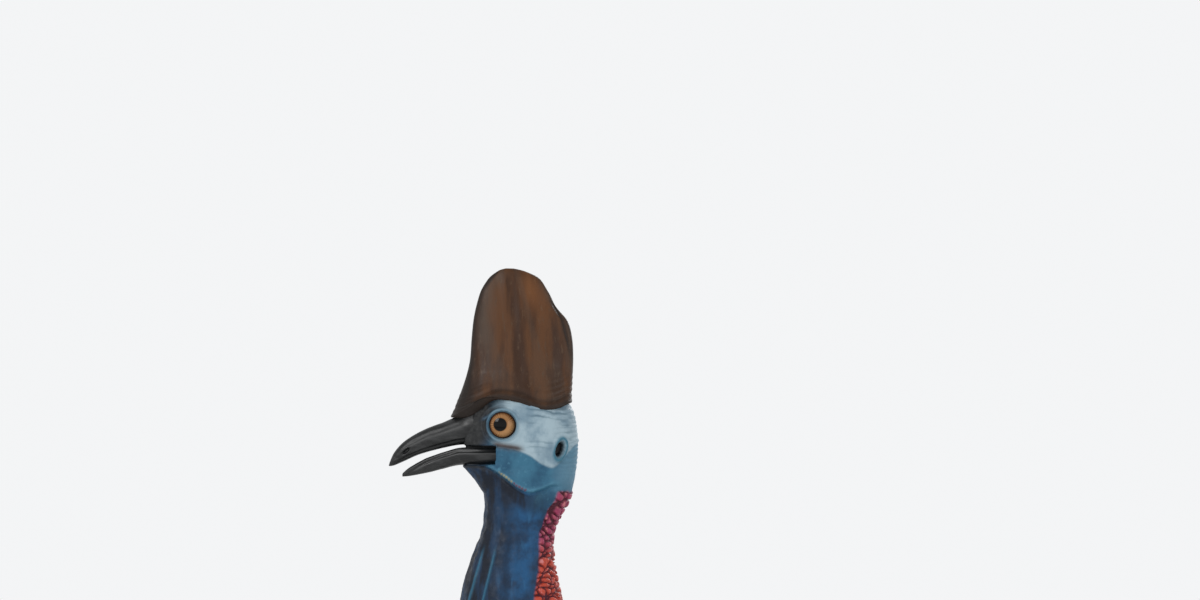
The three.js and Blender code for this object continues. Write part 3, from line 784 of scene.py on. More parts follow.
@dataclass(frozen=True)
class HornFinish:
    """Smooth dark horn, for the bill, the claws and the quills, with painted shade laid into the bill's
    grooves, nostrils and hollow.
    """

    name: str
    dark: Color
    light: Color
    rough: float = 0.32
    rougher: float = 0.18

    def build(self) -> Material:
        """Makes the material.

        Returns:
            The material.
        """
        s = Shader(self.name)
        streak = s.grain(110, 5, 0.6, (1, 0.25, 1))
        hue = s.mottled(streak, (0.4, 0.68), self.dark, self.light)
        # The edge layer is painted shade in the bill's grooves, nostrils and hollow; the claws and quills
        # have none.
        s.color(s.layered(hue, {"edge": self.dark}))
        s.roughness(s.between(streak, (0.3, 0.7), (self.rough, self.rough + self.rougher)))
        s.set(Specular_IOR_Level=0.4)
        s.bump(streak, depth=0.5, strength=0.4)
        return s.material


BILL_HORN = HornFinish("bill_horn", (0.008, 0.0085, 0.009), (0.034, 0.035, 0.036))
CLAW_HORN = HornFinish("claw_horn", (0.016, 0.013, 0.011), (0.07, 0.06, 0.05))
# The quills' paler streaks are a painted sheen on black horn.
QUILL_HORN = HornFinish("quill_horn", (0.012, 0.011, 0.01), (0.13, 0.11, 0.085), rough=0.2)


@dataclass(frozen=True)
class EyeFinish:
    """A wet amber iris with fine spokes round a black pupil, with painted light on its lower rear."""

    amber: Color = (0.11, 0.037, 0.01)
    # The spokes' pale tone, also used for painted light on the iris's lower rear.
    light: Color = (0.46, 0.24, 0.1)
    rim: Color = (0.035, 0.014, 0.008)
    pupil: Color = (0.003, 0.003, 0.003)

    def build(self) -> Material:
        """Makes the material.

        Returns:
            The material.
        """
        s = Shader("eye_wet")
        s.color(s.layered(self.amber, {"spokes": self.light, "rim": self.rim, "pupil": self.pupil}))
        s.set(Roughness=0.06, Specular_IOR_Level=0.12, Coat_Weight=0.1, Coat_Roughness=0.02)
        return s.material


@dataclass(frozen=True)
class ScaleFinish:
    """Dry grey brown scales of the shanks and toes, dark between them."""

    pale: Color = (0.2, 0.18, 0.14)
    dull: Color = (0.105, 0.095, 0.078)
    fleck: Color = (0.26, 0.235, 0.19)
    gap: Color = (0.022, 0.019, 0.016)

    def build(self) -> Material:
        """Makes the material.

        Returns:
            The material.
        """
        s = Shader("leg_scale")
        broad = s.grain(30, 5, 0.6)
        fine = s.grain(300, 4, 0.6)
        hue = s.mottled(broad, (0.38, 0.64), self.dull, self.pale)
        hue = s.mottled(fine, (0.5, 0.75), hue, self.fleck)
        s.color(s.layered(hue, {"gap": self.gap}))
        s.roughness(s.between(fine, (0.3, 0.7), (0.5, 0.72)))
        s.bump(fine, depth=0.5, strength=0.5)
        return s.material


@dataclass(frozen=True)
class FeatherFinish:
    """Coarse black feathers with a brown cast along some of them."""

    black: Color = (0.0075, 0.0065, 0.006)
    brown: Color = (0.03, 0.02, 0.013)

    def build(self) -> Material:
        """Makes the material.

        Returns:
            The material.
        """
        s = Shader("feather")
        tuft = s.attribute("tuft")
        cast = s.between(s.grain(14, 4, 0.6), (0.4, 0.7))
        s.color(s.mixed(s.times(cast, tuft), self.black, self.brown))
        s.roughness(s.between(tuft, (0, 1), (0.4, 0.62)))
        s.set(Specular_IOR_Level=0.5)
        s.bump(s.grain(700, 2, 0.5), depth=0.3, strength=0.4)
        return s.material


@dataclass(frozen=True)
class FloorFinish:
    """A plain pale floor."""

    tone: Color = (0.88, 0.88, 0.87)

    def build(self) -> Material:
        """Makes the material.

        Returns:
            The material.
        """
        s = Shader("floor_pale")
        s.surface.inputs["Base Color"].default_value = (*self.tone, 1)
        s.set(Roughness=0.8)
        return s.material


@dataclass
class Finishes:
    """Every finish of the bird, built once."""

    skin: Material = field(default_factory=SkinFinish().build)
    casque: Material = field(default_factory=CasqueFinish().build)
    bill: Material = field(default_factory=BILL_HORN.build)
    claw: Material = field(default_factory=CLAW_HORN.build)
    quill: Material = field(default_factory=QUILL_HORN.build)
    eye: Material = field(default_factory=EyeFinish().build)
    scale: Material = field(default_factory=ScaleFinish().build)
    feather: Material = field(default_factory=FeatherFinish().build)


def dress(thing: Object, material: Material, nodes: Sequence[str]) -> None:
    """Gives a piece its material and its place in the table of parts.

    Args:
        thing: The piece.
        material: Its material.
        nodes: The solid parts whose look it takes over.
    """
    thing.data.materials.clear()
    thing.data.materials.append(material)
    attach(thing, "root")
    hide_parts(*nodes)
    log.info("%s: %d faces", thing.name, len(thing.data.polygons))


# Legs


def blend(values: Sequence[float], share: Array) -> Array:
    """Reads a short list smoothly at a share of its length, level at each of its values.

    Args:
        values: The values.
        share: How far along to read, from 0 to 1.

    Returns:
        The value at each share.
    """
    place = np.clip(share, 0, 1) * (len(values) - 1)
    i = np.minimum(place.astype(int), len(values) - 2)
    f = place - i
    f = f * f * (3 - 2 * f)
    table = np.array(values)
    return table[i] * (1 - f) + table[i + 1] * f


def raised(rings: Array, middles: Array, heights: Array) -> Array:
    """Moves the corners of rings away from their middles, and keeps them off the floor.

    Args:
        rings: The rings.
        middles: The middle of each ring.
        heights: How far to move each corner.

    Returns:
        The moved rings.
    """
    rings = rings + unit(rings - middles[:, None]) * heights[..., None]
    rings[..., 2] = np.maximum(rings[..., 2], 0)
    return rings


def seams(points: Array, size: float, seed: int) -> tuple[Array, Array]:
    """Small round scales.

    Args:
        points: Points, three numbers each.
        size: The spacing of the scales.
        seed: Picks one pattern.

    Returns:
        The distance to each scale's middle, and the seams between scales.
    """
    near, second = cells(points, size, seed)
    return near, smooth(0.16, 0.03, second - near)


@dataclass(frozen=True)
class Toe:
    """One toe with plates on top and small scales below, and its claw."""

    name: str
    reach: float
    claw: float
    turn: float
    radius: float
    claw_radius: float
    tip_height: float = 12
    claw_arch: float = 0.2
    overlap: float = 26
    heights: Row = (30, 21, 16)
    knuckles: Row = (0, 0.35, 0.7, 1)
    tip_radius: float = 10.5
    pads: int = 4
    pad_swell: float = 1.1
    flat: float = 0.82
    plate_pitch: float = 8.6
    scale_size: float = 4.6
    inset: float = 0.9
    claw_flat: float = 0.72
    claw_tip_height: float = 4
    sides: int = 64

    def line(self, pad: Array, heading: Array) -> tuple[Array, Array]:
        """The toe's middle line, from the pad to its tip.

        Args:
            pad: The place of the foot's pad.
            heading: The way that the toe points.

        Returns:
            The points of the line, and how far along the toe each lies.
        """
        place = np.linspace(0, len(self.heights), 150)
        along = spline(np.array(self.knuckles) * (self.reach + self.overlap), place)
        rise = spline((*self.heights, self.tip_height), place)
        level = pad * np.array([1, 1, 0])
        return level + heading * along[:, None] + np.array([0, 0, 1.0]) * rise[:, None], along

    def build(self, side: Side, pad: Array) -> tuple[Object, Object]:
        """Builds the toe and its claw.

        Args:
            side: Which foot.
            pad: The place of its pad.

        Returns:
            The toe and the claw.
        """
        angle = np.deg2rad(self.turn) * side.value
        heading = np.array([np.sin(angle), -np.cos(angle), 0.0])
        beside = np.cross(heading, [0, 0, 1.0])
        middle, along = self.line(pad, heading)
        shares = np.linspace(0, 1, len(middle))
        size = self.radius + (self.tip_radius - self.radius) * shares**0.9
        size += self.pad_swell * np.sin(shares * self.pads * TAU)
        around = turns(self.sides)
        up = np.cos(around)
        rings = middle[:, None] + beside * (np.sin(around) * self.flat)[None, :, None] * size[:, None, None]
        rings[..., 2] += up[None] * size[:, None]
        plate = (along[:, None] + 0 * around[None]) / self.plate_pitch % 1
        top = smooth(0.25, 0.5, up)[None] + 0 * plate
        groove = np.minimum(smooth(0, 0.13, plate), smooth(1, 0.9, plate))
        _, seam = seams(rings.reshape(-1, 3), self.scale_size, 61)
        seam = seam.reshape(plate.shape)
        height = top * 1.2 * groove + (1 - top) * 0.5 * (1 - seam) - self.inset
        toe = loft(f"toe_{self.name}_{side.name}_scaled", raised(rings, middle, height))
        gap = np.maximum(top * (1 - groove), (1 - top) * seam * 0.8)
        mark(toe, "gap", np.clip(gap, 0, 1).ravel())
        return toe, self.nail(side, middle, beside)

    def nail(self, side: Side, middle: Array, beside: Array) -> Object:
        """Builds the claw at the toe's tip.

        Args:
            side: Which foot.
            middle: The toe's middle line.
            beside: The way across the toe.

        Returns:
            The claw.
        """
        tip, way = middle[-1], unit(middle[-1] - middle[-2])
        steps = np.linspace(0, 1, 60)
        line = tip + way * ((self.claw - 0.6) * steps)[:, None]
        line[:, 2] = tip[2] + self.claw_arch * self.claw * steps * (1 - steps)
        line[:, 2] -= (tip[2] - self.claw_tip_height) * steps**2
        across = self.claw_radius * (1 - steps) ** 0.7 + 0.5
        around = turns(self.sides // 2)
        wide = np.sin(around)[None, :, None] * self.claw_flat
        nail = line[:, None] + beside * wide * across[:, None, None]
        nail[..., 2] += np.cos(around)[None] * across[:, None]
        nail[..., 2] = np.maximum(nail[..., 2], 0.05)
        return loft(f"claw_{self.name}_{side.name}_horn", nail)


@dataclass
class Legs:
    """Drumsticks under the coat, and bare scaled shanks with three clawed toes each."""

    finishes: Finishes
    stride: Span = (-34, 34)
    places: tuple[Row, ...] = (
        (88, 62, 705),
        (96, 118, 600),
        (102, 178, 480),
        (104, 206, 392),
        (106, 178, 230),
        (108, 142, 62),
        (108, 130, -7),
    )
    drumstick_places: tuple[int, int] = (0, 2)
    drumstick_radii: Row = (74, 68, 35)
    drumstick_flat: float = 0.84
    shank_places: tuple[int, int] = (2, 6)
    shank_radii: Row = (33, 31, 25, 21.5, 21, 25, 27.5)
    shank_flat: float = 0.86
    shank_length: float = 505
    shank_rings: int = 330
    shank_sides: int = 110
    plate_pitch: float = 15.5
    scale_size: float = 6.4
    inset: float = 1.0
    toes: tuple[Toe, ...] = (
        Toe("inner", 72, 104, -30, 19.5, 8.6, tip_height=16.8, claw_arch=0.1),
        Toe("middle", 146, 46, 3, 20.5, 9),
        Toe("outer", 104, 36, 34, 18.5, 8),
    )

    def curve(self, side: Side, ends: tuple[int, int], shares: Array) -> tuple[Array, Array]:
        """Points and directions along a leg.

        Args:
            side: Which leg.
            ends: The first and the last of its places to pass through.
            shares: How far along, from 0 to 1.

        Returns:
            The points and the unit directions.
        """
        spots = np.array(self.places[ends[0] : ends[1] + 1], float)
        spots[:, 0] *= side.value
        spots[:, 1] += self.stride[0] if side is Side.left else self.stride[1]
        count = len(spots) - 1
        step = 1e-3
        path, ahead, behind = (
            np.stack([spline(spots[:, k], (shares + move) * count) for k in range(3)], axis=1)
            for move in (0, step, -step)
        )
        way = ahead - behind
        return path, way / np.linalg.norm(way, axis=1, keepdims=True)

    def tube(self, path: Array, way: Array, radii: Array, sides: int, flat: float) -> Array:
        """Rings of a leg round a path, with the first corner of each ring in front.

        Args:
            path: The points of the path.
            way: Its directions.
            radii: The radius at each point.
            sides: How many corners each ring has.
            flat: The width across, as a share of the depth.

        Returns:
            The rings.
        """
        forward = np.array([0, -1, 0])
        fore = forward - way * (way @ forward)[:, None]
        fore /= np.linalg.norm(fore, axis=1, keepdims=True)
        beside = np.cross(way, fore)
        turn = turns(sides)
        out = fore[:, None] * np.cos(turn)[None, :, None]
        out = out + beside[:, None] * (np.sin(turn) * flat)[None, :, None]
        return path[:, None] + out * radii[:, None, None]

    def drumstick(self, side: Side, grow: float, count: int, sides: int) -> tuple[Array, Array, Array]:
        """The thick feathered part of a leg.

        Args:
            side: Which leg.
            grow: How far outside it the rings lie.
            count: How many rings there are.
            sides: How many corners each ring has.

        Returns:
            The rings, their middles and their directions.
        """
        shares = np.linspace(0, 1, count)
        path, way = self.curve(side, self.drumstick_places, shares)
        radii = blend(self.drumstick_radii, shares) + grow
        return self.tube(path, way, radii, sides, self.drumstick_flat), path, way

    def thigh(self, side: Side, grow: float) -> Array:
        """Rings of the plain drumstick under its coat, closed above by a small cap.

        Args:
            side: Which leg.
            grow: How far outside the solid drumstick they lie.

        Returns:
            The rings.
        """
        rings = self.drumstick(side, grow, 40, 40)[0]
        middle = rings[:1].mean(axis=1, keepdims=True)
        cap = middle + (rings[:1] - middle) * 0.3 + np.array([0, -8, 34])
        return np.concatenate([cap, rings])

    def shank(self, side: Side) -> Object:
        """The bare shank with tall plates down its front and small round scales elsewhere.

        Args:
            side: Which leg.

        Returns:
            The shank.
        """
        count, sides = self.shank_rings, self.shank_sides
        shares = np.linspace(0, 1, count)
        path, way = self.curve(side, self.shank_places, shares)
        rings = self.tube(path, way, blend(self.shank_radii, shares), sides, self.shank_flat)
        flat = rings.reshape(-1, 3)
        turn = np.tile(turns(sides), count)
        run = np.repeat(shares * self.shank_length, sides)
        plated = smooth(0.3, 0.36, shares) * smooth(0.965, 0.93, shares)
        front = smooth(0.42, 0.62, np.cos(turn)) * np.repeat(plated, sides)
        plate = (run + 3.5 * np.abs(np.sin(turn)) + 1.2 * noise(flat, 30, 51)) / self.plate_pitch % 1
        groove = np.minimum(smooth(0.0, 0.1, plate), smooth(1.0, 0.93, plate))
        near, seam = seams(flat * np.array([1, 1, 0.9]), self.scale_size, 52)
        height = front * 1.5 * groove * (1 - 0.45 * plate) + (1 - front) * 0.75 * (1 - seam) * (1 - near)
        ankle = np.repeat(hill(shares - 0.2, 0.1), sides)
        height += 0.56 * ankle * np.sin(run / 9.5 * TAU + noise(flat, 16, 53)) - self.inset
        rings = raised(rings, path, height.reshape(count, sides))
        gap = np.maximum(front * (1 - groove), (1 - front) * seam * 0.9).reshape(count, sides)

        # One ring closes the sole; the rest of those on the floor are left out.
        keep = rings[:, :, 2].max(axis=1) > 0.05
        keep[np.argmin(keep)] = True
        thing = loft(f"shank_{side.name}_scaled", rings[keep])
        mark(thing, "gap", np.clip(gap[keep].ravel(), 0, 1))
        return thing

    def build(self) -> None:
        """Builds both bare legs and feet."""
        for side in Side:
            dress(self.shank(side), self.finishes.scale, [f"shank_{side.name}"])
            pad = self.curve(side, self.shank_places, np.array([1.0]))[0][0]
            for part in self.toes:
                toe, claw = part.build(side, pad)
                dress(toe, self.finishes.scale, [f"toe_{part.name}_{side.name}"])
                mark_all(claw, "edge", 0)
                dress(claw, self.finishes.claw, [f"claw_{part.name}_{side.name}"])


# The skin's features, each raised and coloured on the same skin


@dataclass(frozen=True)
class Mouth:
    """The room of the lower bill, closed behind by a wall, with painted shade on the upper part of the wall.
    """

    top: float = 1508.6
    floor: float = 1487.2
    soft: float = 1.0
    front: Span = (-288, -294)
    wall: float = -289.8
    throat_depth: float = 33
    throat_side: Span = (13, 10)
    # Where the painted shade on the wall lies, across and up.
    mouth_shade_side: Span = (17, 14)
    mouth_shade_rise: Span = (9, 12)

    def carve(self, relief: Relief) -> Array:
        """Moves the skin in the mouth back to its wall.

        Args:
            relief: The skin's relief.

        Returns:
            Where the lining lies.
        """
        z, beside = relief.z, relief.beside
        front = smooth(*self.front, relief.y)
        inside = front * smooth(self.floor - self.soft, self.floor + self.soft, z)
        inside *= smooth(self.top + self.soft, self.top - self.soft, z)
        wall = self.wall - self.throat_depth * smooth(*self.throat_side, beside)
        relief.points[:, 1] = np.where(inside > 0.5, np.maximum(relief.y, wall), relief.y)
        set_points(relief.thing, relief.points)
        # Painted shade on the upper part of the wall, under the upper bill.
        return front * smooth(*self.mouth_shade_rise, z - self.floor) * smooth(*self.mouth_shade_side, beside)


@dataclass(frozen=True)
class Lids:
    """The socket that an eyeball sits in, with two rings of lid round it and a painted highlight along the
    brow in front.
    """

    fade: Span = (46, 30)
    side: Span = (8, 14)
    hole: Span = (15.4, 12.5)
    depth: float = 14
    folds: tuple[Row, ...] = ((16.8, 1.9, 1.7), (19.8, -0.8, 1.2), (22.6, 0.5, 1.6))
    open_front: Span = (-17, -8)
    brow_place: Span = (-308, 1535.3)
    brow_slope: float = 0.53
    brow_ends: tuple[Span, Span] = ((-310, -302), (-280, -287))

    def reach(self, relief: Relief) -> Array:
        """How far each corner lies from the eye's middle, seen from the side."""
        return np.hypot(relief.y - EYE_Y, relief.z - EYE_Z)

    def carve(self, relief: Relief) -> Array:
        """Sinks the socket, raises the lids and paints a highlight along the brow.

        Args:
            relief: The skin's relief.

        Returns:
            The painted shade at the socket's edge.
        """
        reach = self.reach(relief)
        near_eye = smooth(*self.fade, reach) * smooth(*self.side, relief.beside)
        for radius, height, width in self.folds:
            relief.lift += near_eye * height * hill(reach - radius, width)
        relief.lift -= near_eye * self.depth * smooth(*self.hole, reach)
        lid = np.maximum(hill(reach - 16.7, 1.1), 0.2 * hill(reach - 22.3, 1.5))
        lid *= near_eye * (0.25 + 0.75 * smooth(*self.open_front, relief.y - EYE_Y))
        # A pale streak along the brow, painted as a highlight in the lid colour.
        course = relief.z - self.brow_place[1] - self.brow_slope * (relief.y - self.brow_place[0])
        brow_highlight = hill(course, 1.7) * smooth(10, 16, relief.beside)
        for ends in self.brow_ends:
            brow_highlight *= smooth(*ends, relief.y)
        relief.masks["lid"] = np.maximum(lid, 0.6 * brow_highlight)
        # Painted shade in the crevice round the eyeball.
        return near_eye * hill(reach - 15.2, 1.0)


@dataclass(frozen=True)
class Ear:
    """A bent slit with a raised rim, and painted shade in its opening."""

    place: Span = (-220.9, 1505.1)
    half: Span = (5.2, 9.6)
    bend: Span = (2.0, 7.5)
    side: Span = (14, 20)
    rim: float = 2.0
    depth: float = 8.0

    def oval(self, relief: Relief) -> Array:
        """How far out each corner lies, from 0 in the slit's middle to 1 on its edge.

        Args:
            relief: The skin's relief.

        Returns:
            The share for each corner.
        """
        up = relief.z - self.place[1]
        along = relief.y - self.place[0] - self.bend[0] * np.sin(up / self.bend[1])
        return np.hypot(along / self.half[0], up / self.half[1])

    def carve(self, relief: Relief) -> None:
        """Sinks the slit, raises its rim and paints shade into the opening.

        Args:
            relief: The skin's relief.
        """
        oval, side = self.oval(relief), smooth(*self.side, relief.beside)
        relief.lift += side * self.rim * hill(oval - 1.22, 0.22)
        relief.lift -= side * self.depth * smooth(1.0, 0.55, oval)
        # Painted shade in the sunken opening.
        relief.masks["ear"] = side * smooth(0.98, 0.72, oval)
        relief.masks["ear_rim"] = side * hill(oval - 1.2, 0.26)


@dataclass(frozen=True)
class Cheek:
    """The pale cheek with level wrinkles behind the eye, down to a line from the gape to the ear, with
    painted shade in the wrinkles' valleys.
    """

    side: Span = (14, 20)
    behind_eye: Span = (-262, -250)
    above_gape: Span = (1498, 1512)
    wrinkle_pitch: float = 6.6
    wrinkle_height: float = 0.55
    wrinkle_dip: float = 8
    nape_pitch: float = 5.2
    nape_height: float = 0.3
    nape_start: Span = (-232, -214)
    line: Row = (1510, 1508.5, 1504, 1498, 1489, 1486, 1500, 1512)
    line_start: float = -292
    line_pitch: float = 13.0

    def carve(self, relief: Relief, ear: Ear, socket_shade: Array) -> None:
        """Raises the wrinkles, marks the pale skin and paints shade into the valleys of the wrinkles, between
        the ridges at the rear and round the eye socket.

        Args:
            relief: The skin's relief.
            ear: The ear, which the wrinkles stop short of.
            socket_shade: The painted shade at the eye socket's edge.
        """
        y, z = relief.y, relief.z
        head = smooth(1440, 1456, z)
        fade = smooth(*self.behind_eye, y) * smooth(*self.above_gape, z) * smooth(*self.side, relief.beside)
        fade *= 1 - smooth(2.2, 1.4, ear.oval(relief))
        wave = z + self.wrinkle_dip * smooth(-262, -205, y)
        wave = wave + 2.6 * relief.noise(17, 3) + 0.9 * relief.noise(6, 4)
        fold = np.sin(wave / self.wrinkle_pitch * TAU)
        deep = smooth(-0.15, 0.5, relief.noise(13, 9, (1, 0.45, 1.6)))
        relief.lift += fade * self.wrinkle_height * fold * deep
        # Painted shade in the valleys of the wrinkles, and between the ridges at the rear.
        crease = fade * smooth(0.4, 0.98, -fold) * deep * 0.65
        rear = smooth(*self.nape_start, y) * smooth(1470, 1490, z) * head
        ridge = np.sin((z + 2.5 * relief.noise(12, 8)) / self.nape_pitch * TAU)
        relief.lift += rear * self.nape_height * ridge
        crease = np.maximum(crease, rear * 0.25 * smooth(0.4, 1, -ridge))
        over = z - spline(self.line, (y - self.line_start) / self.line_pitch)
        pale = smooth(-1.6, 1.6, over) * smooth(-300, -278, y) * head
        relief.lift += 0.9 * pale * hill(over - 2.5, 3) * smooth(*self.behind_eye, y)
        rear_shade = 0.6 * smooth(-222, -206, y) * smooth(1520, 1490, z)
        relief.masks["pale"] = pale * smooth(1600, 1560, z) * (1 - rear_shade)
        relief.masks["crease"] = np.maximum(crease, 0.9 * socket_shade)


@dataclass(frozen=True)
class Jowl:
    """The fold under the jaw, with painted shade below it, a painted highlight along its top and a row of
    yellow and red beads along it.
    """

    line: Row = (1489.5, 1487, 1481, 1473, 1463.5, 1458.5, 1461, 1466)
    line_start: float = -315
    line_pitch: float = 12.2
    fold_height: float = 2.0
    groove_depth: float = 2.2
    bead_pitch: float = 3.4
    bead_height: float = 1.1
    yellow_ends: tuple[Span, Span] = ((-288, -285), (-270, -273))
    red_ends: tuple[Span, Span] = ((-273, -270), (-254, -258))

    def over(self, relief: Relief) -> Array:
        """How far above the fold's line each corner lies."""
        return relief.z - spline(self.line, (relief.y - self.line_start) / self.line_pitch)

    def span(self, relief: Relief) -> Array:
        """Where along the head the fold runs."""
        ends = smooth(-318, -306, relief.y) * smooth(-214, -232, relief.y)
        return ends * smooth(10, 18, relief.beside)

    def carve(self, relief: Relief) -> None:
        """Raises the fold and its beads, marks the jaw above it and paints a highlight along the fold's top.

        Args:
            relief: The skin's relief.
        """
        y, z, masks = relief.y, relief.z, relief.masks
        over, span = self.over(relief), self.span(relief)
        relief.lift += span * self.fold_height * hill(over - 3.5, 4.0)
        relief.lift -= span * self.groove_depth * hill(over + 1.6, 2.2)
        jaw = smooth(-4, 3, over) * smooth(-306, -292, y) * smooth(1440, 1452, z + 0.3 * (y + 215))
        masks["jaw"] = np.maximum(jaw, smooth(1425, 1462, z) * smooth(-262, -228, y))
        masks["rear"] = smooth(-236, -212, y) * smooth(1440, 1480, z)
        # A painted highlight along the top of the fold.
        masks["shine"] = 0.8 * span * hill(over - 2.5, 2.2) * (0.6 + 0.4 * relief.noise(9, 17))
        beads = np.sin((y * 0.8 - z * 0.6) / self.bead_pitch * TAU) * 0.5 + 0.5
        strip = smooth(14, 20, relief.beside) * hill(over - 2.2, 2.3)
        for name, (start, end) in (("yellow", self.yellow_ends), ("red", self.red_ends)):
            row = strip * smooth(*start, y) * smooth(*end, y)
            relief.lift += row * self.bead_height * beads
            masks[name] = 0.85 * smooth(0.3, 0.8, row * (0.4 + 0.6 * beads))


@dataclass(frozen=True)
class Gape:
    """A brownish fold that carries the mouth's line back under the eye."""

    ends: tuple[Span, Span] = ((-296, -288), (-256, -268))
    start: Span = (-290, 1509.2)
    slope: float = 0.16
    side: Span = (14, 20)
    stain_side: Span = (14, 18)
    fold_height: float = 1.4
    groove_depth: float = 2.4

    def carve(self, relief: Relief) -> None:
        """Raises the fold over its groove.

        Args:
            relief: The skin's relief.
        """
        span = smooth(*self.ends[0], relief.y) * smooth(*self.ends[1], relief.y)
        side = smooth(*self.side, relief.beside)
        over = relief.z - self.start[1] + self.slope * (relief.y - self.start[0])
        relief.lift += span * side * self.fold_height * hill(over - 2.6, 2.0)
        relief.lift -= span * side * self.groove_depth * hill(over + 0.8, 1.3)
        relief.masks["gape"] = span * smooth(*self.stain_side, relief.beside) * hill(over - 1.0, 3.4)


@dataclass(frozen=True)
class Lores:
    """Black skin from the bill back to the eye and up to the casque."""

    reach: Span = (-268, -300)
    slant: float = 0.55
    level: Span = (1532, 1548)
    low_edge: Span = (1505, 1508.5)
    lid_gap: Span = (16.2, 17.4)
    eye_reach: float = 30
    chin: tuple[Span, Span] = ((-300, -306), (1482, 1486))
    # The top of the painted shade in the mouth.
    mouth_shade_top: Span = (1512, 1510)

    def carve(self, relief: Relief, lids: Lids, mouth_shade: Array) -> None:
        """Marks the black skin and the painted shade in the mouth, and roughens them.

        Args:
            relief: The skin's relief.
            lids: The lids, which stay clear of it.
            mouth_shade: Where the painted shade in the mouth lies.
        """
        y, z, reach = relief.y, relief.z, lids.reach(relief)
        drift = self.slant * (np.maximum(0, self.level[0] - z) + np.maximum(0, z - self.level[1]))
        black = smooth(*self.reach, y + drift) * smooth(*self.low_edge, z) * (1 - 0.9 * relief.masks["lid"])
        black *= smooth(*self.lid_gap, reach + 40 * (relief.beside < 9))
        near = smooth(-262, -290, y - 0.3 * (z - EYE_Z))
        black = np.where(reach < self.eye_reach, black * near, black)
        black = np.maximum(black, 0.9 * smooth(*self.chin[0], y) * smooth(*self.chin[1], z))
        # Painted shade on the upper back wall of the mouth, in the same black.
        black = np.maximum(black, mouth_shade * smooth(*self.mouth_shade_top, z))
        relief.lift += black * (0.5 * relief.noise(6, 18, (1, 1, 1.7)) + 0.25 * relief.noise(3, 19))
        relief.masks["black"] = black


@dataclass(frozen=True)
class Throat:
    """Slanting folds under the jaw, pleats down the neck and pale lines low on its front."""

    fold_pitch: float = 13.0
    fold_height: float = 0.35
    lines: tuple[Span, ...] = ((-317.0, 0.22), (-302.0, 0.18), (-331.0, 0.2))
    line_height: float = 0.9
    line_width: float = 1.2
    lines_top: Span = (1405, 1385)
    pleats: int = 17
    pleat_height: float = 0.35
    neck_middle: float = -268

    def carve(self, relief: Relief, jowl: Jowl) -> None:
        """Raises the folds, lines and pleats, marks the throat darker at the front and paints shade under the
        jowl fold.

        Args:
            relief: The skin's relief.
            jowl: The jowl, which shades the skin below it.
        """
        x, y, z = relief.x, relief.y, relief.z
        throat = smooth(1500, 1484, z) * smooth(-262, -292, y)
        run = np.sin((y * 0.78 + z * 0.62 + 3 * relief.noise(26, 5)) / self.fold_pitch * TAU)
        relief.lift += throat * self.fold_height * run * smooth(1380, 1420, z)
        lines = np.zeros(len(y))
        for start, slope in self.lines:
            course = y - (start - slope * (1345 - z) + 2.0 * np.sin(z / 31.0))
            lines = np.maximum(lines, hill(course, self.line_width))
        lines *= smooth(8, 16, relief.beside) * smooth(*self.lines_top, z)
        relief.lift += self.line_height * lines
        relief.masks["stripe"] = 0.85 * lines * smooth(1150, 1230, z)
        neck = smooth(1458, 1440, z)
        pleat = np.sin(np.arctan2(x, self.neck_middle - y) * self.pleats + 1.2 * relief.noise(55, 6))
        relief.lift += neck * self.pleat_height * pleat * smooth(1120, 1180, z)
        relief.lift += neck * 0.55 * relief.noise(7, 11, (1, 1, 0.45)) + 0.16 * relief.noise(2.6, 12)
        # Darker at the front of the throat under the bill, and painted shade in a band under the jowl fold.
        front = smooth(-250, -290, y + 0.12 * (1470 - z)) * smooth(1492, 1476, z)
        over = jowl.over(relief)
        under_jowl = jowl.span(relief) * smooth(-1, -4, over) * smooth(-30, -12, over)
        relief.masks["dark"] = np.maximum(front, under_jowl)


@dataclass(frozen=True)
class Nape:
    """Knotted red folds down the back of the neck."""

    spine_rows: tuple[int, int] = (2, 11)
    widths: tuple[Row, Row] = (
        (1100, 1250, 1342, 1372, 1392, 1412, 1433, 1456),
        (40, 31, 29, 18, 14.5, 14.5, 17, 15),
    )
    top: Span = (1461, 1457)
    knob_size: float = 9.2
    knob_squeeze: Row = (0.8, 0.8, 1.25)
    knob_share: float = 0.78
    knob_height: float = 2.7
    gap_depth: float = 1.1
    inset: float = 0.2
    low: Span = (1412, 1384)

    def carve(self, relief: Relief) -> None:
        """Raises the knobs, marks them and paints shade into the gaps between them and on their sides.

        Args:
            relief: The skin's relief.
        """
        y, z = relief.y, relief.z
        first, last = self.spine_rows
        rows = np.array(TRUNK.rows[first : last + 1][::-1])
        spine, wide = np.interp(z, rows[:, 1], rows[:, 0]), np.interp(z, *self.widths)
        nape = smooth(-1.2, 1.2, y - spine + wide + 1.6 * relief.noise(9, 13))
        nape *= smooth(*self.top, z + 1.2 * relief.noise(6, 14))
        warp = relief.points + 5.0 * np.stack([relief.noise(11, 20 + k) for k in range(3)], axis=1)
        near, second = cells(warp * np.array(self.knob_squeeze), self.knob_size, 15)
        gap = smooth(0.26, 0.05, second - near)
        knob = np.sqrt(np.clip(1 - (near / self.knob_share) ** 2, 0, 1))
        relief.lift += nape * (self.knob_height * knob * (1 - gap) - self.gap_depth * gap - self.inset)
        relief.masks["nape"] = nape
        # Painted shade in the gaps between the knobs, and darker towards each knob's sides.
        relief.masks["knob_gap_shade"] = gap * 0.95 + 0.25 * smooth(0.45, 0.7, near)
        relief.masks["low"] = smooth(*self.low, z)


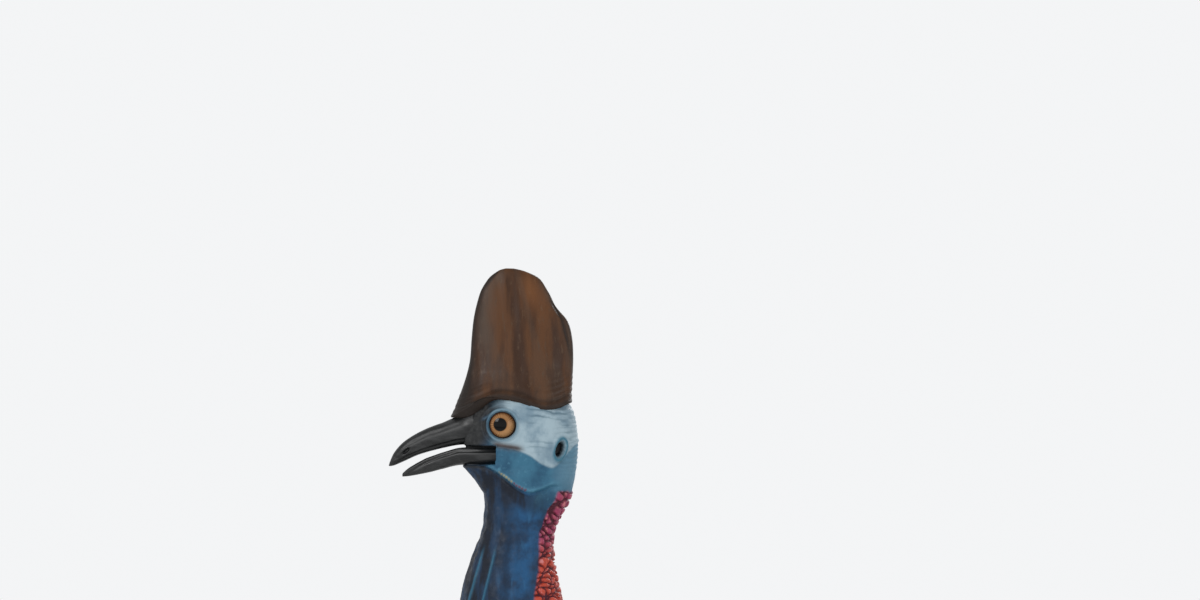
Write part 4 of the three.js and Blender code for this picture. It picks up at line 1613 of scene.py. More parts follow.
@dataclass(frozen=True)
class Wattles:
    """Two flat lobes that hang from the front of the neck."""

    place: float = 7.9
    length: float = 130
    width: float = 17
    thickness: float = 6.5
    apart: Span = (15, 5)
    stand_off: float = 9
    slender: float = 0.55
    top: Span = (1285, 1265)
    before_neck: Span = (4, 7)
    neck_rows: int = 13

    def lobe(self, side: Side) -> Array:
        """Rings of one lobe.

        Args:
            side: Which wattle.

        Returns:
            The rings.
        """
        top = TRUNK.points(np.array([self.place]), np.array([np.pi]))[0]
        share, turn = np.linspace(0, 1, 40), turns(32)
        out = self.stand_off * np.minimum(1, share * 3) - 6 * (1 - np.minimum(1, share * 5))
        lobe = np.sin(np.pi * np.minimum(1, 0.28 + 0.66 * share)) ** 0.75
        wide = self.width * (0.45 + 0.55 * share) * lobe + 1
        thick = self.thickness * (0.75 + 0.25 * share) * np.maximum(lobe, 0.3)
        deep = 0.09 * np.sin(share * 46) * (1 - share**2)
        fold = 1 + deep[:, None] * np.cos(turn * 3 + share[:, None] * 9)
        rings = np.empty((len(share), len(turn), 3))
        middle = side.value * (self.apart[0] + self.apart[1] * share)
        rings[..., 0] = middle[:, None] + thick[:, None] * np.sin(turn) * fold
        rings[..., 1] = (top[1] - out - 2)[:, None] - self.slender * wide[:, None] * np.cos(turn) * fold
        rings[..., 2] = (top[2] - share * self.length)[:, None] + 0 * turn
        return rings

    def carve(self, relief: Relief) -> None:
        """Marks the lobes in front of the neck, clear of black, and makes them lumpy.

        Args:
            relief: The skin's relief.
        """
        table = np.array(TRUNK.rows[: self.neck_rows])
        order = np.argsort(table[:, 3])
        neck = np.interp(relief.z, table[order, 3], table[order, 2])
        wattle = smooth(*self.before_neck, neck - relief.y) * smooth(*self.top, relief.z)
        relief.lift += wattle * (relief.noise(7, 24, (1, 1, 0.55)) + 0.4 * relief.noise(3.4, 25))
        relief.masks["wattle"] = wattle
        relief.masks["black"] *= 1 - wattle


# The skin: head, neck and the body under the coat


@dataclass
class Skin:
    """One bare skin over head and neck, and the plain body under the feathers."""

    finishes: Finishes
    legs: Legs
    mouth: Mouth = Mouth()
    lids: Lids = Lids()
    ear: Ear = Ear()
    cheek: Cheek = Cheek()
    jowl: Jowl = Jowl()
    gape: Gape = Gape()
    lores: Lores = Lores()
    throat: Throat = Throat()
    nape: Nape = Nape()
    wattles: Wattles = Wattles()
    voxel: float = 1.25
    soften: int = 6
    neck_end: float = 11.0
    body_overlap: float = 0.6
    body_inset: float = -10.0
    thigh_inset: float = -6.0
    tuck_depth: float = 5.0
    tuck_start: Span = (0.5, 6)
    tuck_height: Span = (1520, 1530)

    def build(self) -> None:
        """Builds the skin."""
        neck = loft("neck", TRUNK.rings((0, self.neck_end), 120, 64))
        face = loft("face", HEAD.rings(HEAD.whole(), 60, 56))
        lobes = [loft("wattle", self.wattles.lobe(side)) for side in Side]
        skin = remeshed(joined("skin", [neck, face, *lobes]), self.voxel, self.soften)
        self.carve(skin)
        below = (self.neck_end - self.body_overlap, TRUNK.whole()[1])
        body = loft("body", TRUNK.rings(below, 60, 56, self.body_inset))
        thighs = [loft("thigh", self.legs.thigh(side, self.thigh_inset)) for side in Side]
        for piece in (body, *thighs):
            mark_all(piece, "down", 1)
        skin = joined("skin", [skin, body, *thighs])
        nodes = ["head", "neck_upper", "neck_lower", "torso", "wattle_left", "wattle_right"]
        dress(skin, self.finishes.skin, nodes + ["drumstick_left", "drumstick_right"])

    def carve(self, skin: Object) -> None:
        """Carves the mouth, eyes, ears, folds and knobs, and marks where each colour lies.

        Args:
            skin: The skin.
        """
        relief = Relief(skin)
        mouth_shade = self.mouth.carve(relief)
        self.tuck(relief)
        socket_shade = self.lids.carve(relief)
        self.ear.carve(relief)
        self.cheek.carve(relief, self.ear, socket_shade)
        self.jowl.carve(relief)
        self.gape.carve(relief)
        self.lores.carve(relief, self.lids, mouth_shade)
        self.throat.carve(relief, self.jowl)
        self.nape.carve(relief)
        self.wattles.carve(relief)
        ragged = relief.z - 0.25 * (relief.y + 250) + 9 * relief.noise(13, 22)
        relief.masks["down"] = smooth(1160, 1142, ragged)
        relief.finish()

    def tuck(self, relief: Relief) -> None:
        """Pulls the skin in where the casque covers it.

        Args:
            relief: The skin's relief.
        """
        share = np.clip((relief.y - RIM_FRONT) / (RIM_REAR - RIM_FRONT), 0, 1)
        covered = smooth(*self.tuck_start, relief.z - rim_height(share))
        relief.lift -= self.tuck_depth * covered * smooth(*self.tuck_height, relief.z)


# Casque


@dataclass
class Casque:
    """The tall horn casque, a blade that widens to its rim on the skull."""

    finishes: Finishes
    form: Form = Form(
        (
            (-209, 1555, -339, 1539, 25),
            (-208.5, 1567, -334, 1552, 23.5),
            (-208, 1582, -327, 1571, 20),
            (-207.5, 1603, -320, 1597, 16.5),
            (-209, 1625, -317.5, 1624, 13.5),
            (-214, 1643, -315, 1645, 12),
            (-227, 1659, -311.5, 1661, 10.5),
            (-234, 1674, -306, 1676, 9),
            (-243, 1688, -298, 1689, 7),
            (-258, 1696, -288, 1697, 4.5),
            (-271, 1699.4, -280, 1699.6, 1.2),
        ),
        2.0,
    )
    fade: float = 2.6
    rim_wider: float = 3.5
    rim_fuller: float = 1.8
    under_y: float = -276
    under_share: float = 0.55
    under_drop: float = 4
    rings: int = 150
    sides: int = 160
    front_edge: tuple[Row, Row] = ((1539, 1571, 1597, 1645, 1676, 1697), (-339, -327, -320, -315, -306, -288))
    rear_edge: tuple[Row, Row] = (
        (1555, 1603, 1625, 1643, 1659, 1688, 1697),
        (-209, -207.5, -209, -214, -227, -243, -258),
    )
    lobe_edge: tuple[Row, Row] = ((1585, 1620, 1645, 1664), (-206, -213, -219, -231))
    lobe_depth: float = 1.5
    rib_height: float = 0.9
    lip: Row = (3.0, 1.9, 3.6)
    lip_groove: Row = (9.5, 0.9, 3.2)
    rear_ripple: Span = (0.32, 6.4)
    front_ripple: Span = (0.22, 5.6)

    def build(self) -> None:
        """Builds the casque."""
        heights = np.linspace(*self.form.whole(), self.rings)
        place, angle = np.meshgrid(heights, turns(self.sides), indexing="ij")
        fade = np.clip(1 - place / self.fade, 0, 1)
        rings = self.form.points(place, angle, fuller=self.rim_fuller * fade)
        back, front, half = self.form.slice_at(place)
        rings[..., 0] *= 1 + self.rim_wider * fade / half
        share = (rings[..., 1] - front[..., 1]) / (back[..., 1] - front[..., 1])
        rings[..., 2] += fade * rim_rise(share)
        under = rings[:1] * np.array([self.under_share, 1, 1])
        under[..., 1] = self.under_y + (under[..., 1] - self.under_y) * self.under_share
        under[..., 2] -= self.under_drop
        casque = loft("casque_horn", np.concatenate([under, rings]))
        self.carve(casque)
        dress(casque, self.finishes.casque, ["casque"])

    def carve(self, casque: Object) -> None:
        """Raises growth ripples, upright ribs and the lip of the rim, paints shade into the grooves and marks
        the colours.

        Args:
            casque: The casque.
        """
        relief = Relief(casque)
        x, y, z = relief.x, relief.y, relief.z
        front, rear = np.interp(z, *self.front_edge), np.interp(z, *self.rear_edge)
        share = np.clip((y - front) / (rear - front), 0, 1)
        above = z - rim_height(share)
        ribs = noise(np.stack([x * 0.3, y, z * 0.16 + 0.35 * y], axis=1), 8.5, 31)
        relief.lift += self.rib_height * ribs * smooth(8, 30, above) * smooth(1698, 1680, z)
        roll = 0.25 + 0.75 * smooth(0.03, 0.2, share) * smooth(1.0, 0.9, share)
        for (place, height, width), sign in ((self.lip, 1), (self.lip_groove, -1)):
            relief.lift += sign * roll * height * hill(above - place, width)
        height, pitch = self.rear_ripple
        at_rear = smooth(0.62, 0.9, share) * smooth(42, 12, above)
        relief.lift += height * at_rear * np.sin((above - 16 * (share - 0.62)) / pitch * TAU)
        height, pitch = self.front_ripple
        at_front = smooth(0.3, 0.02, share) * smooth(34, 10, above)
        relief.lift += height * at_front * np.sin((above + 20 * share) / pitch * TAU)
        lobe = hill(y - np.interp(z, *self.lobe_edge), 1.9) * smooth(1592, 1625, z) * smooth(1672, 1656, z)
        lobe = lobe * (x > 0)
        relief.lift -= self.lobe_depth * lobe
        # Painted shade in the rear lobe's groove and in the groove over the lip.
        relief.masks["groove"] = 0.9 * lobe + 0.5 * hill(above - 8.5, 2.4) * smooth(0.1, 0.3, share)
        self.shade(relief, share, above)
        relief.finish()

    def shade(self, relief: Relief, share: Array, above: Array) -> None:
        """Marks the grey front and rear, the dark edges, a painted shadow just above the rim and a painted
        orange highlight near the top.

        Args:
            relief: The casque's relief.
            share: How far back each corner lies, from front to rear edge.
            above: How far above the rim it lies.
        """
        x, y, z = relief.x, relief.y, relief.z
        grey = hill(share - 0.13, 0.09) * smooth(1600, 1630, z)
        grey += 0.85 * smooth(0.9, 1.0, share) * smooth(1570, 1600, z)
        upright = noise(np.stack([x * 0, y + 0.25 * (z - 1600), z * 0.12], axis=1), 9, 33)
        relief.masks["grey"] = 0.42 * grey + 0.2 * smooth(0.25, 0.6, upright)
        base = smooth(0.3, 0.06, share + 0.004 * (z - 1560)) * smooth(1625, 1560, z)
        edge = smooth(0.085, 0.0, share) + 0.5 * smooth(0.975, 1.0, share)
        # Darker along the front and rear edges and low at the front; the last term is a painted shadow in a
        # band just above the rim.
        relief.masks["dark"] = 0.92 * base + 0.9 * edge + 0.85 * smooth(8, 0.5, above)
        # A painted highlight high on the casque, towards its rear.
        relief.masks["orange_highlight"] = 0.65 * hill(y + 252 + 0.2 * (z - 1680), 12) * hill(z - 1674, 24)


# Bill


@dataclass
class Bill:
    """The two halves of the bill."""

    finishes: Finishes
    upper: Form = Form(
        (
            (-405.5, 1490, -406, 1486, 2.2),
            (-400, 1501.5, -400.5, 1486.8, 5.5),
            (-388, 1514, -391, 1490.8, 8.5),
            (-367, 1526, -372, 1499, 11.5),
            (-346, 1534, -350, 1505, 14),
            (-330, 1541.4, -333, 1508.6, 16.8),
            (-321, 1547, -323, 1509.4, 18.8),
            (-304, 1556, -300, 1510, 22.5),
        ),
        2.2,
    )
    lower: Form = Form(
        (
            (-391, 1478.6, -391.5, 1474.6, 2.2),
            (-384, 1484.5, -383, 1475.4, 5),
            (-366, 1495, -364, 1479, 8),
            (-350, 1501.4, -348, 1483, 10.5),
            (-332, 1507, -330, 1487.2, 14),
            (-310, 1508.4, -309, 1487.3, 19),
            (-288, 1508.2, -288, 1487.5, 22.3),
        ),
        2.6,
    )
    cutting_edge: tuple[Row, Row] = (
        (-406, -391, -372, -350, -333, -300),
        (1486, 1490.8, 1499, 1505, 1509, 1511.2),
    )
    ridge: tuple[Row, Row] = (
        (-406, -400, -388, -367, -346, -330, -304),
        (1490, 1501.5, 1514, 1526, 1534, 1541, 1552),
    )
    lower_top: tuple[Row, Row] = (
        (-391, -384, -366, -350, -332, -288),
        (1478.6, 1484.5, 1495, 1501.4, 1507, 1508.2),
    )
    lower_half: tuple[Row, Row] = ((-391, -350, -288), (2.2, 10.5, 22))
    nostril: Span = (-387.5, 1502.5)
    nostril_way: Span = (0.78, 0.62)
    nostril_half: Span = (5.4, 1.9)
    nostril_depth: float = 3.0
    grain_height: float = 0.14
    grain_size: float = 3.5
    grain_squeeze: Row = (1, 0.35, 1)

    def build(self) -> None:
        """Builds both halves."""
        top = loft("bill_top", self.upper.rings(self.upper.whole(), 130, 96))
        self.carve_upper(top)
        dress(top, self.finishes.bill, ["bill_upper"])
        under = loft("bill_under", self.lower.rings(self.lower.whole(), 110, 88))
        self.carve_lower(under)
        dress(under, self.finishes.bill, ["bill_lower"])

    def carve_upper(self, thing: Object) -> None:
        """Cuts the groove over the cutting edge, the long hollow under the ridge and the nostrils, and paints
        shade into the groove and the nostrils.

        Args:
            thing: The upper half.
        """
        relief = Relief(thing)
        y, z = relief.y, relief.z
        edge, ridge = np.interp(y, *self.cutting_edge), np.interp(y, *self.ridge)
        share = (z - edge) / np.maximum(ridge - edge, 1)
        relief.lift -= hill(share - 0.16, 0.05) * smooth(-398, -385, y)
        relief.lift += 0.5 * hill(share - 0.27, 0.08)
        relief.lift -= 0.7 * hill(share - 0.72, 0.1) * smooth(-395, -375, y) * smooth(-318, -335, y)
        ny, nz = y - self.nostril[0], z - self.nostril[1]
        cos, sin = self.nostril_way
        long, wide = self.nostril_half
        slit = np.hypot((ny * cos + nz * sin) / long, (nz * cos - ny * sin) / wide)
        relief.lift += 0.2 * hill(slit - 1.5, 0.4) - self.nostril_depth * smooth(1.1, 0.5, slit)
        relief.lift += self.grain_height * relief.noise(self.grain_size, 41, self.grain_squeeze)
        # Painted shade in the nostrils and in the groove over the cutting edge.
        relief.masks["edge"] = smooth(1.2, 0.6, slit) + hill(share - 0.16, 0.05)
        relief.finish()

    def carve_lower(self, thing: Object) -> None:
        """Cuts the groove along the lower half and hollows it between its edges, and paints shade into the
        groove and the hollow.

        Args:
            thing: The lower half.
        """
        relief = Relief(thing)
        y = relief.y
        drop = np.interp(y, *self.lower_top) - relief.z
        groove = 0.8 * hill(drop - 5.0, 1.6)
        inner = smooth(6, 10, np.interp(y, *self.lower_half) - relief.beside + 4)
        relief.lift += 0.5 * hill(drop - 1.6, 1.4) - groove * smooth(-388, -370, y)
        relief.lift += self.grain_height * relief.noise(self.grain_size, 42, self.grain_squeeze)
        relief.lift -= 1.6 * inner * smooth(3, 0.5, drop) * smooth(-380, -360, y)
        # Painted shade in the groove and in the hollow between the edges.
        relief.masks["edge"] = groove + inner * smooth(3, 1, drop)
        relief.finish()


# Eyes


@dataclass
class Eyes:
    """Both eyes."""

    finishes: Finishes
    x: float = 21.5
    bulge: float = 10.4
    radius: float = 15.6
    iris: float = 13.0
    pupil: float = 7.2
    pupil_shift: Span = (-2.4, 0.6)
    spokes: int = 37
    rings: int = 90
    sides: int = 128
    pole: float = 0.02

    def build(self) -> None:
        """Builds each eye."""
        turn = np.linspace(self.pole, np.pi - self.pole, self.rings)[:, None]
        around = turns(self.sides)[None, :]
        away = np.sin(turn) * self.radius
        for side in Side:
            ball = np.empty((self.rings, self.sides, 3))
            ball[..., 0] = side.value * (self.x + self.bulge * np.cos(turn)) + 0 * around
            ball[..., 1] = EYE_Y + away * np.cos(around)
            ball[..., 2] = EYE_Z + away * np.sin(around)
            eye = loft(f"eyeball_{side.name}", ball)
            self.color(eye)
            dress(eye, self.finishes.eye, [f"eye_{side.name}"])

    def color(self, eye: Object) -> None:
        """Marks the iris with its spokes, its rim, the pupil and painted light on its lower rear.

        Args:
            eye: The eyeball.
        """
        relief = Relief(eye)
        y, z = relief.y - EYE_Y, relief.z - EYE_Z
        out = np.hypot(y, z)
        dark = np.hypot(y - self.pupil_shift[0], z - self.pupil_shift[1])
        angle = np.arctan2(z, y)
        fan = np.sin(angle * self.spokes + 2 * np.sin(angle * 5))
        light = 0.35 + 0.28 * fan * smooth(4, 8, dark) + 0.3 * hill(dark - self.pupil - 2.4, 2.4)
        # Painted light: the iris grows lighter towards its lower rear.
        light += 0.6 * smooth(0, 14, y - z) - 0.3 * smooth(10, 13, out)
        mark(eye, "spokes", np.clip(light, 0, 1))
        mark(eye, "rim", smooth(self.iris - 0.8, self.iris + 0.7, out))
        mark(eye, "pupil", smooth(self.pupil + 0.35, self.pupil - 0.35, dark))


# Coat


@dataclass(frozen=True)
class Lie:
    """How a feather lies: how high off the skin, how it starts and how it falls."""

    height: float
    lift: float
    droop: float
    down: float
    steps: int


@dataclass(frozen=True)
class CoatArea:
    """One stretch of coat: how many feathers it has, their sizes and how they lie."""

    name: str
    count: int
    length: Span
    width: float
    lie: Lie


class Ground:
    """A surface that feathers root in and lie along."""

    def __init__(self, points: Array, normals: Array, along: Array) -> None:
        """Keeps the samples and a tree to find the nearest."""
        self.points, self.normals, self.along = points, normals, along
        self.tree = tree_of(points)

    def nearest(self, points: Array) -> Array:
        """The number of the nearest sample to each point."""
        return np.array([self.tree.find(Vector(p))[1] for p in points])


def tree_of(points: Array) -> kdtree.KDTree:
    """A tree that finds the nearest of some points.

    Args:
        points: The points.

    Returns:
        The tree.
    """
    tree = kdtree.KDTree(len(points))
    for i, point in enumerate(points):
        tree.insert(Vector(point), i)
    tree.balance()
    return tree


def feather_paths(
    roots: Array, normals: Array, along: Array, lengths: Array, lie: Lie, ground: Ground
) -> Array:
    """Centre lines of feathers that leave the skin, lie along the coat and droop.

    Args:
        roots: Where they root.
        normals: The way out at each root.
        along: The way along the body at each root.
        lengths: How long each is.
        lie: How they lie.
        ground: The surface below them.

    Returns:
        The points of each line.
    """
    root_depth, keep_way, level = 4, 0.4, 0.8
    fall = np.array([0, 0, -1.0])
    flow = along + fall * lie.down
    flow = unit(flow - normals * np.sum(flow * normals, axis=1, keepdims=True))
    way = unit(flow + normals * lie.lift)
    path = [roots - normals * root_depth]
    stride = (lengths / lie.steps)[:, None]
    for i in range(1, lie.steps + 1):
        point = path[-1] + way * stride
        path.append(point)
        if i == lie.steps:
            break
        here = ground.nearest(point)
        normal = ground.normals[here]
        height = np.sum((point - ground.points[here]) * normal, axis=1, keepdims=True)
        share = i / lie.steps
        flow = ground.along[here] + fall * lie.down
        flow = unit(flow - normal * np.sum(flow * normal, axis=1, keepdims=True))
        way = way * keep_way + flow * (1 - keep_way) + fall * (lie.droop * share)
        way = unit(way + normal * ((lie.height * (0.4 + 0.6 * share) - height) / stride) * level)
    return np.stack(path, axis=1)


def vane_corners(paths: Array, normals: Array, widths: Array) -> Array:
    """Corners of three-sided vanes along paths, each closed to a point.

    Args:
        paths: The centre line of each vane.
        normals: The way up at each root.
        widths: The width of each vane.

    Returns:
        The corners of each vane, ring by ring, and its point last.
    """
    count, knots, _ = paths.shape
    rings = knots - 1
    ahead = unit(np.gradient(paths, axis=1))
    side = unit(np.cross(ahead, normals[:, None]))
    up = np.cross(side, ahead)[:, :rings]
    share = np.linspace(0, 1, knots)[:rings]
    taper = (0.55 + 0.6 * share) * (1 - share**2.2 * 0.8)
    wide = widths[:, None, None] * taper[None, :, None] / 2
    body, side = paths[:, :rings], side[:, :rings]
    corners = np.stack([body - side * wide, body + up * wide * 0.5, body + side * wide], axis=2)
    return np.concatenate([corners.reshape(count, rings * 3, 3), paths[:, -1:]], axis=1)


def vane_faces(rings: int) -> list[tuple[int, ...]]:
    """Faces of one three-sided vane.

    Args:
        rings: How many rings it has before its point.

    Returns:
        The faces, as rows of corner numbers.
    """
    faces: list[tuple[int, ...]] = [(0, 1, 2)]
    for r in range(rings - 1):
        for i in range(3):
            a, b = r * 3 + i, r * 3 + (i + 1) % 3
            faces.append((a, a + 3, b + 3, b))
    top = (rings - 1) * 3
    return faces + [(top + i, rings * 3, top + (i + 1) % 3) for i in range(3)]


def feather_mesh(name: str, paths: Array, normals: Array, widths: Array, marks: Array, uv: Array) -> Object:
    """A mesh of thin vanes along paths.

    Args:
        name: The piece's name.
        paths: The centre line of each vane.
        normals: The way up at each root.
        widths: The width of each vane.
        marks: One number for each vane, kept for its colour.
        uv: The place of each vane's root on the unwrapped body.

    Returns:
        The new object, with its OFBake map.
    """
    points = vane_corners(paths, normals, widths)
    count, size, _ = points.shape
    rings = size // 3
    faces = vane_faces(rings)
    loops = np.array([corner for face in faces for corner in face])
    firsts = np.cumsum([0] + [len(face) for face in faces[:-1]])
    number = np.arange(count)[:, None]
    all_loops = (loops[None] + number * size).ravel()
    mesh = bpy.data.meshes.new(name)
    mesh.vertices.add(count * size)
    mesh.vertices.foreach_set("co", to_frame(points.reshape(-1, 3)).ravel())
    mesh.loops.add(len(all_loops))
    mesh.loops.foreach_set("vertex_index", all_loops)
    mesh.polygons.add(count * len(faces))
    mesh.polygons.foreach_set("loop_start", (firsts[None] + number * len(loops)).ravel())
    mesh.update(calc_edges=True)
    mesh.polygons.foreach_set("use_smooth", np.ones(count * len(faces), bool))
    patch = 0.003
    step = np.stack([(loops % 3) / 2.0, np.minimum(loops // 3, rings) / rings], axis=1) * patch
    spot = uv[:, None] * (1 - patch) + step[None]
    layer = mesh.uv_layers.new(name="OFBake")
    layer.data.foreach_set("uv", np.clip(spot, 0, 1).ravel())
    thing = bpy.data.objects.new(name, mesh)
    bpy.context.scene.collection.objects.link(thing)
    mark(thing, "tuft", np.repeat(marks, size))
    return thing


@dataclass
class Coat:
    """The shaggy coat of body and drumsticks."""

    finishes: Finishes
    legs: Legs
    seed: int = 4
    clumps: int = 900
    fewest_clumps: int = 12
    clump_pull: float = 0.62
    sway: float = 16
    looseness: float = 4
    first: float = 9.32
    last: float = 17.1
    ruff_span: Span = (9.12, 10.22)
    body_start: float = 0.15
    root_inset: float = -4.0
    drumstick_inset: float = -3
    pieces: int = 4
    one_piece_up_to: int = 6000
    lowest: float = 5
    body: CoatArea = CoatArea("coat", 21000, (150, 270), 6.2, Lie(26, 0.42, 0.62, 0.85, steps=6))
    ruff: CoatArea = CoatArea("ruff", 3000, (70, 120), 5.0, Lie(13, 0.65, 0.25, 0.6, steps=5))
    leg: CoatArea = CoatArea("leg_coat", 1500, (60, 105), 5.0, Lie(7, 0.25, 0.2, 0.0, steps=5))

    def build(self) -> None:
        """Builds every stretch of coat."""
        draw = np.random.default_rng(self.seed)
        ground = self.body_ground()
        self.trunk_area(draw, self.body, (self.first + self.body_start, self.last), ground)
        self.trunk_area(draw, self.ruff, self.ruff_span, ground)
        for side in Side:
            self.drumstick(draw, side)

    def trunk_area(self, draw: np.random.Generator, area: CoatArea, span: Span, ground: Ground) -> None:
        """Builds a stretch of coat on neck and body.

        Args:
            draw: The source of random numbers.
            area: The stretch.
            span: Its places along the trunk.
            ground: The surface below it.
        """
        place, angle = self.scatter(draw, area.count, span)
        place = place + 0.07 * draw.standard_normal(len(place))
        roots, normals, along = self.on_body(place, angle)
        share = (place - self.first) / (self.last - self.first)
        length = area.length[0] + (area.length[1] - area.length[0]) * np.clip(share * 1.2, 0, 1)
        length *= 1 + 0.18 * draw.standard_normal(len(place)).clip(-1.5, 1.5)
        below = smooth(2.2, 2.9, np.abs(angle)) * smooth(0.8, 0.5, share)
        length *= (1 - 0.45 * below) * (1 - 0.62 * smooth(0.84, 1.0, share))
        paths = self.stirred(draw, feather_paths(roots, normals, along, length, area.lie, ground))
        uv = np.stack([angle / TAU + 0.5, (place - 9) / 10], axis=1)
        self.pieces_of(draw, area, paths, normals, uv, "torso")

    def scatter(self, draw: np.random.Generator, count: int, span: Span) -> tuple[Array, Array]:
        """Roots spread evenly over the body.

        Args:
            draw: The source of random numbers.
            count: The most roots to give.
            span: The places along the trunk that they lie between.

        Returns:
            Their places along the trunk and their angles from its back.
        """
        tries = count * 4
        place = draw.uniform(*span, tries)
        angle = draw.uniform(-np.pi, np.pi, tries)
        back, front, half = TRUNK.slice_at(place)
        girth = half + np.linalg.norm(back - front, axis=1) / 2
        run = np.linalg.norm(TRUNK.slice_at(place + 0.05)[0] - back, axis=1)
        weight = girth * (run + 3)
        keep = draw.uniform(0, weight.max(), tries) < weight
        return place[keep][:count], angle[keep][:count]

    def on_body(self, place: Array, angle: Array) -> tuple[Array, Array, Array]:
        """Points just inside the body.

        Args:
            place: Places along the trunk.
            angle: Angles from its back.

        Returns:
            The points, the way out and the way along at each.
        """
        step, inset = 0.02, self.root_inset
        spot = TRUNK.points(place, angle, inset)
        along = unit(TRUNK.points(place + step, angle, inset) - TRUNK.points(place - step, angle, inset))
        around = unit(TRUNK.points(place, angle + step, inset) - spot)
        normal = unit(np.cross(along, around))
        back, front, _ = TRUNK.slice_at(place)
        turn = np.sign(np.sum(normal * (spot - (back + front) / 2), axis=1, keepdims=True))
        return spot, normal * turn, along

    def body_ground(self) -> Ground:
        """Samples of the body for feathers to lie along."""
        place, angle = np.meshgrid(np.arange(8.8, TRUNK.whole()[1], 0.08), turns(96))
        return Ground(*self.on_body(place.ravel(), angle.ravel()))

    def stirred(self, draw: np.random.Generator, paths: Array) -> Array:
        """Draws neighbouring feathers together towards their tips, so that the coat falls in locks.

        Args:
            draw: The source of random numbers.
            paths: The feathers' centre lines.

        Returns:
            The new centre lines.
        """
        count = len(paths)
        share = np.linspace(0, 1, paths.shape[1])[None, :, None]
        locks = max(self.fewest_clumps, self.clumps * count // self.body.count)
        leaders = draw.choice(count, locks, replace=False)
        tree = tree_of(paths[leaders, 0])
        mine = np.array([leaders[tree.find(Vector(root))[1]] for root in paths[:, 0]])
        sway = np.stack([noise(paths[mine, 0], 60, 70 + k) for k in range(3)], axis=1)
        loose = draw.standard_normal((count, 3))
        pulled = paths + (paths[mine] - paths) * self.clump_pull * share**1.2
        return pulled + share**1.5 * (sway * self.sway + loose * self.looseness)[:, None]

    def pieces_of(
        self,
        draw: np.random.Generator,
        area: CoatArea,
        paths: Array,
        normals: Array,
        uv: Array,
        node: str,
        tag: str = "",
    ) -> None:
        """Splits a stretch of coat into pieces, off the floor, and dresses them.

        Args:
            draw: The source of random numbers.
            area: The stretch.
            paths: Its feathers' centre lines.
            normals: The way out at each root.
            uv: The place of each root on the unwrapped body.
            node: The solid part that it covers.
            tag: An ending for the pieces' names.
        """
        widths = area.width * (1 + 0.3 * draw.standard_normal(len(paths)).clip(-1.5, 1.5))
        marks = draw.uniform(0, 1, len(paths))
        paths[..., 2] = np.maximum(paths[..., 2], self.lowest)
        pieces = self.pieces if len(paths) > self.one_piece_up_to else 1
        for piece in range(pieces):
            mine = np.arange(len(paths)) % pieces == piece
            name = f"{area.name}{tag}_{piece}"
            thing = feather_mesh(name, paths[mine], normals[mine], widths[mine], marks[mine], uv[mine])
            dress(thing, self.finishes.feather, [node])

    def drumstick(self, draw: np.random.Generator, side: Side) -> None:
        """The coat of one drumstick.

        Args:
            draw: The source of random numbers.
            side: Which drumstick.
        """
        area, count, sides = self.leg, 60, 72
        rings, path, way = self.legs.drumstick(side, self.drumstick_inset, count, sides)
        normals = unit(rings - path[:, None])
        along = np.repeat(way[:, None], sides, 1)
        ground = Ground(rings.reshape(-1, 3), normals.reshape(-1, 3), along.reshape(-1, 3))
        pick_ring = (draw.uniform(0.12, 0.98, area.count) ** 0.8 * (count - 1)).astype(int)
        pick_side = draw.integers(0, sides, area.count)
        roots = rings[pick_ring, pick_side] + draw.standard_normal((area.count, 3)) * 1.5
        share = pick_ring / (count - 1)
        length = area.length[1] + (area.length[0] - area.length[1]) * share
        length = length * (1 + 0.15 * draw.standard_normal(area.count).clip(-1.5, 1.5))
        out, down = normals[pick_ring, pick_side], way[pick_ring]
        paths = self.stirred(draw, feather_paths(roots, out, down, length, area.lie, ground))
        half = 0.5 if side is Side.right else 0
        uv = np.stack([0.05 + 0.4 * pick_side / sides + half, 0.85 + 0.14 * share], axis=1)
        self.pieces_of(draw, area, paths, out, uv, f"drumstick_{side.name}", f"_{side.name}")


# Wings


@dataclass
class Wings:
    """A small wing on each flank with bare quills that arch over the coat."""

    finishes: Finishes
    coat: Coat
    place: float = 11.2
    spread: float = 0.22
    angle: float = 1.16
    fan: float = 0.3
    count: int = 5
    length: float = 330
    outer_shorter: float = 0.3
    radius: float = 2.7
    height: float = 53
    height_step: float = 2
    root_height: float = 2
    knots: int = 70
    sides: int = 14

    def build(self) -> None:
        """Builds both wings."""
        ground = self.coat.body_ground()
        share = np.arange(self.count) / (self.count - 1) - 0.5
        for side in Side:
            angle = (self.angle + share * self.fan) * side.value
            roots, normals, along = self.coat.on_body(self.place + share * self.spread, angle)
            roots = roots + normals * self.root_height
            pieces = []
            for i, place in enumerate(share):
                lie = Lie(self.height + self.height_step * i, 0.9, 0.18, 1.1 + place * 1.3, steps=16)
                length = np.array([self.length * (1 - self.outer_shorter * abs(place))])
                one = slice(i, i + 1)
                path = feather_paths(roots[one], normals[one], along[one], length, lie, ground)[0]
                pieces.append(self.quill(path, normals[i]))
            wing = joined(f"quills_{side.name}", pieces)
            mark_all(wing, "edge", 0)
            dress(wing, self.finishes.quill, [f"wing_{side.name}"])

    def quill(self, path: Array, normal: Array) -> Object:
        """One quill round its centre line.

        Args:
            path: The centre line.
            normal: The way up at its root.

        Returns:
            The quill.
        """
        fine = np.linspace(0, len(path) - 1, self.knots)
        line = np.stack([spline(path[:, k], fine) for k in range(3)], axis=1)
        ahead = unit(np.gradient(line, axis=0))
        across = unit(np.cross(ahead, normal))
        up = np.cross(across, ahead)
        radii = self.radius * (1 - 0.75 * np.linspace(0, 1, self.knots) ** 1.5)
        turn = turns(self.sides)[None, :, None]
        out = up[:, None] * np.cos(turn) + across[:, None] * np.sin(turn)
        return loft("quill", line[:, None] + out * radii[:, None, None])


# Stage


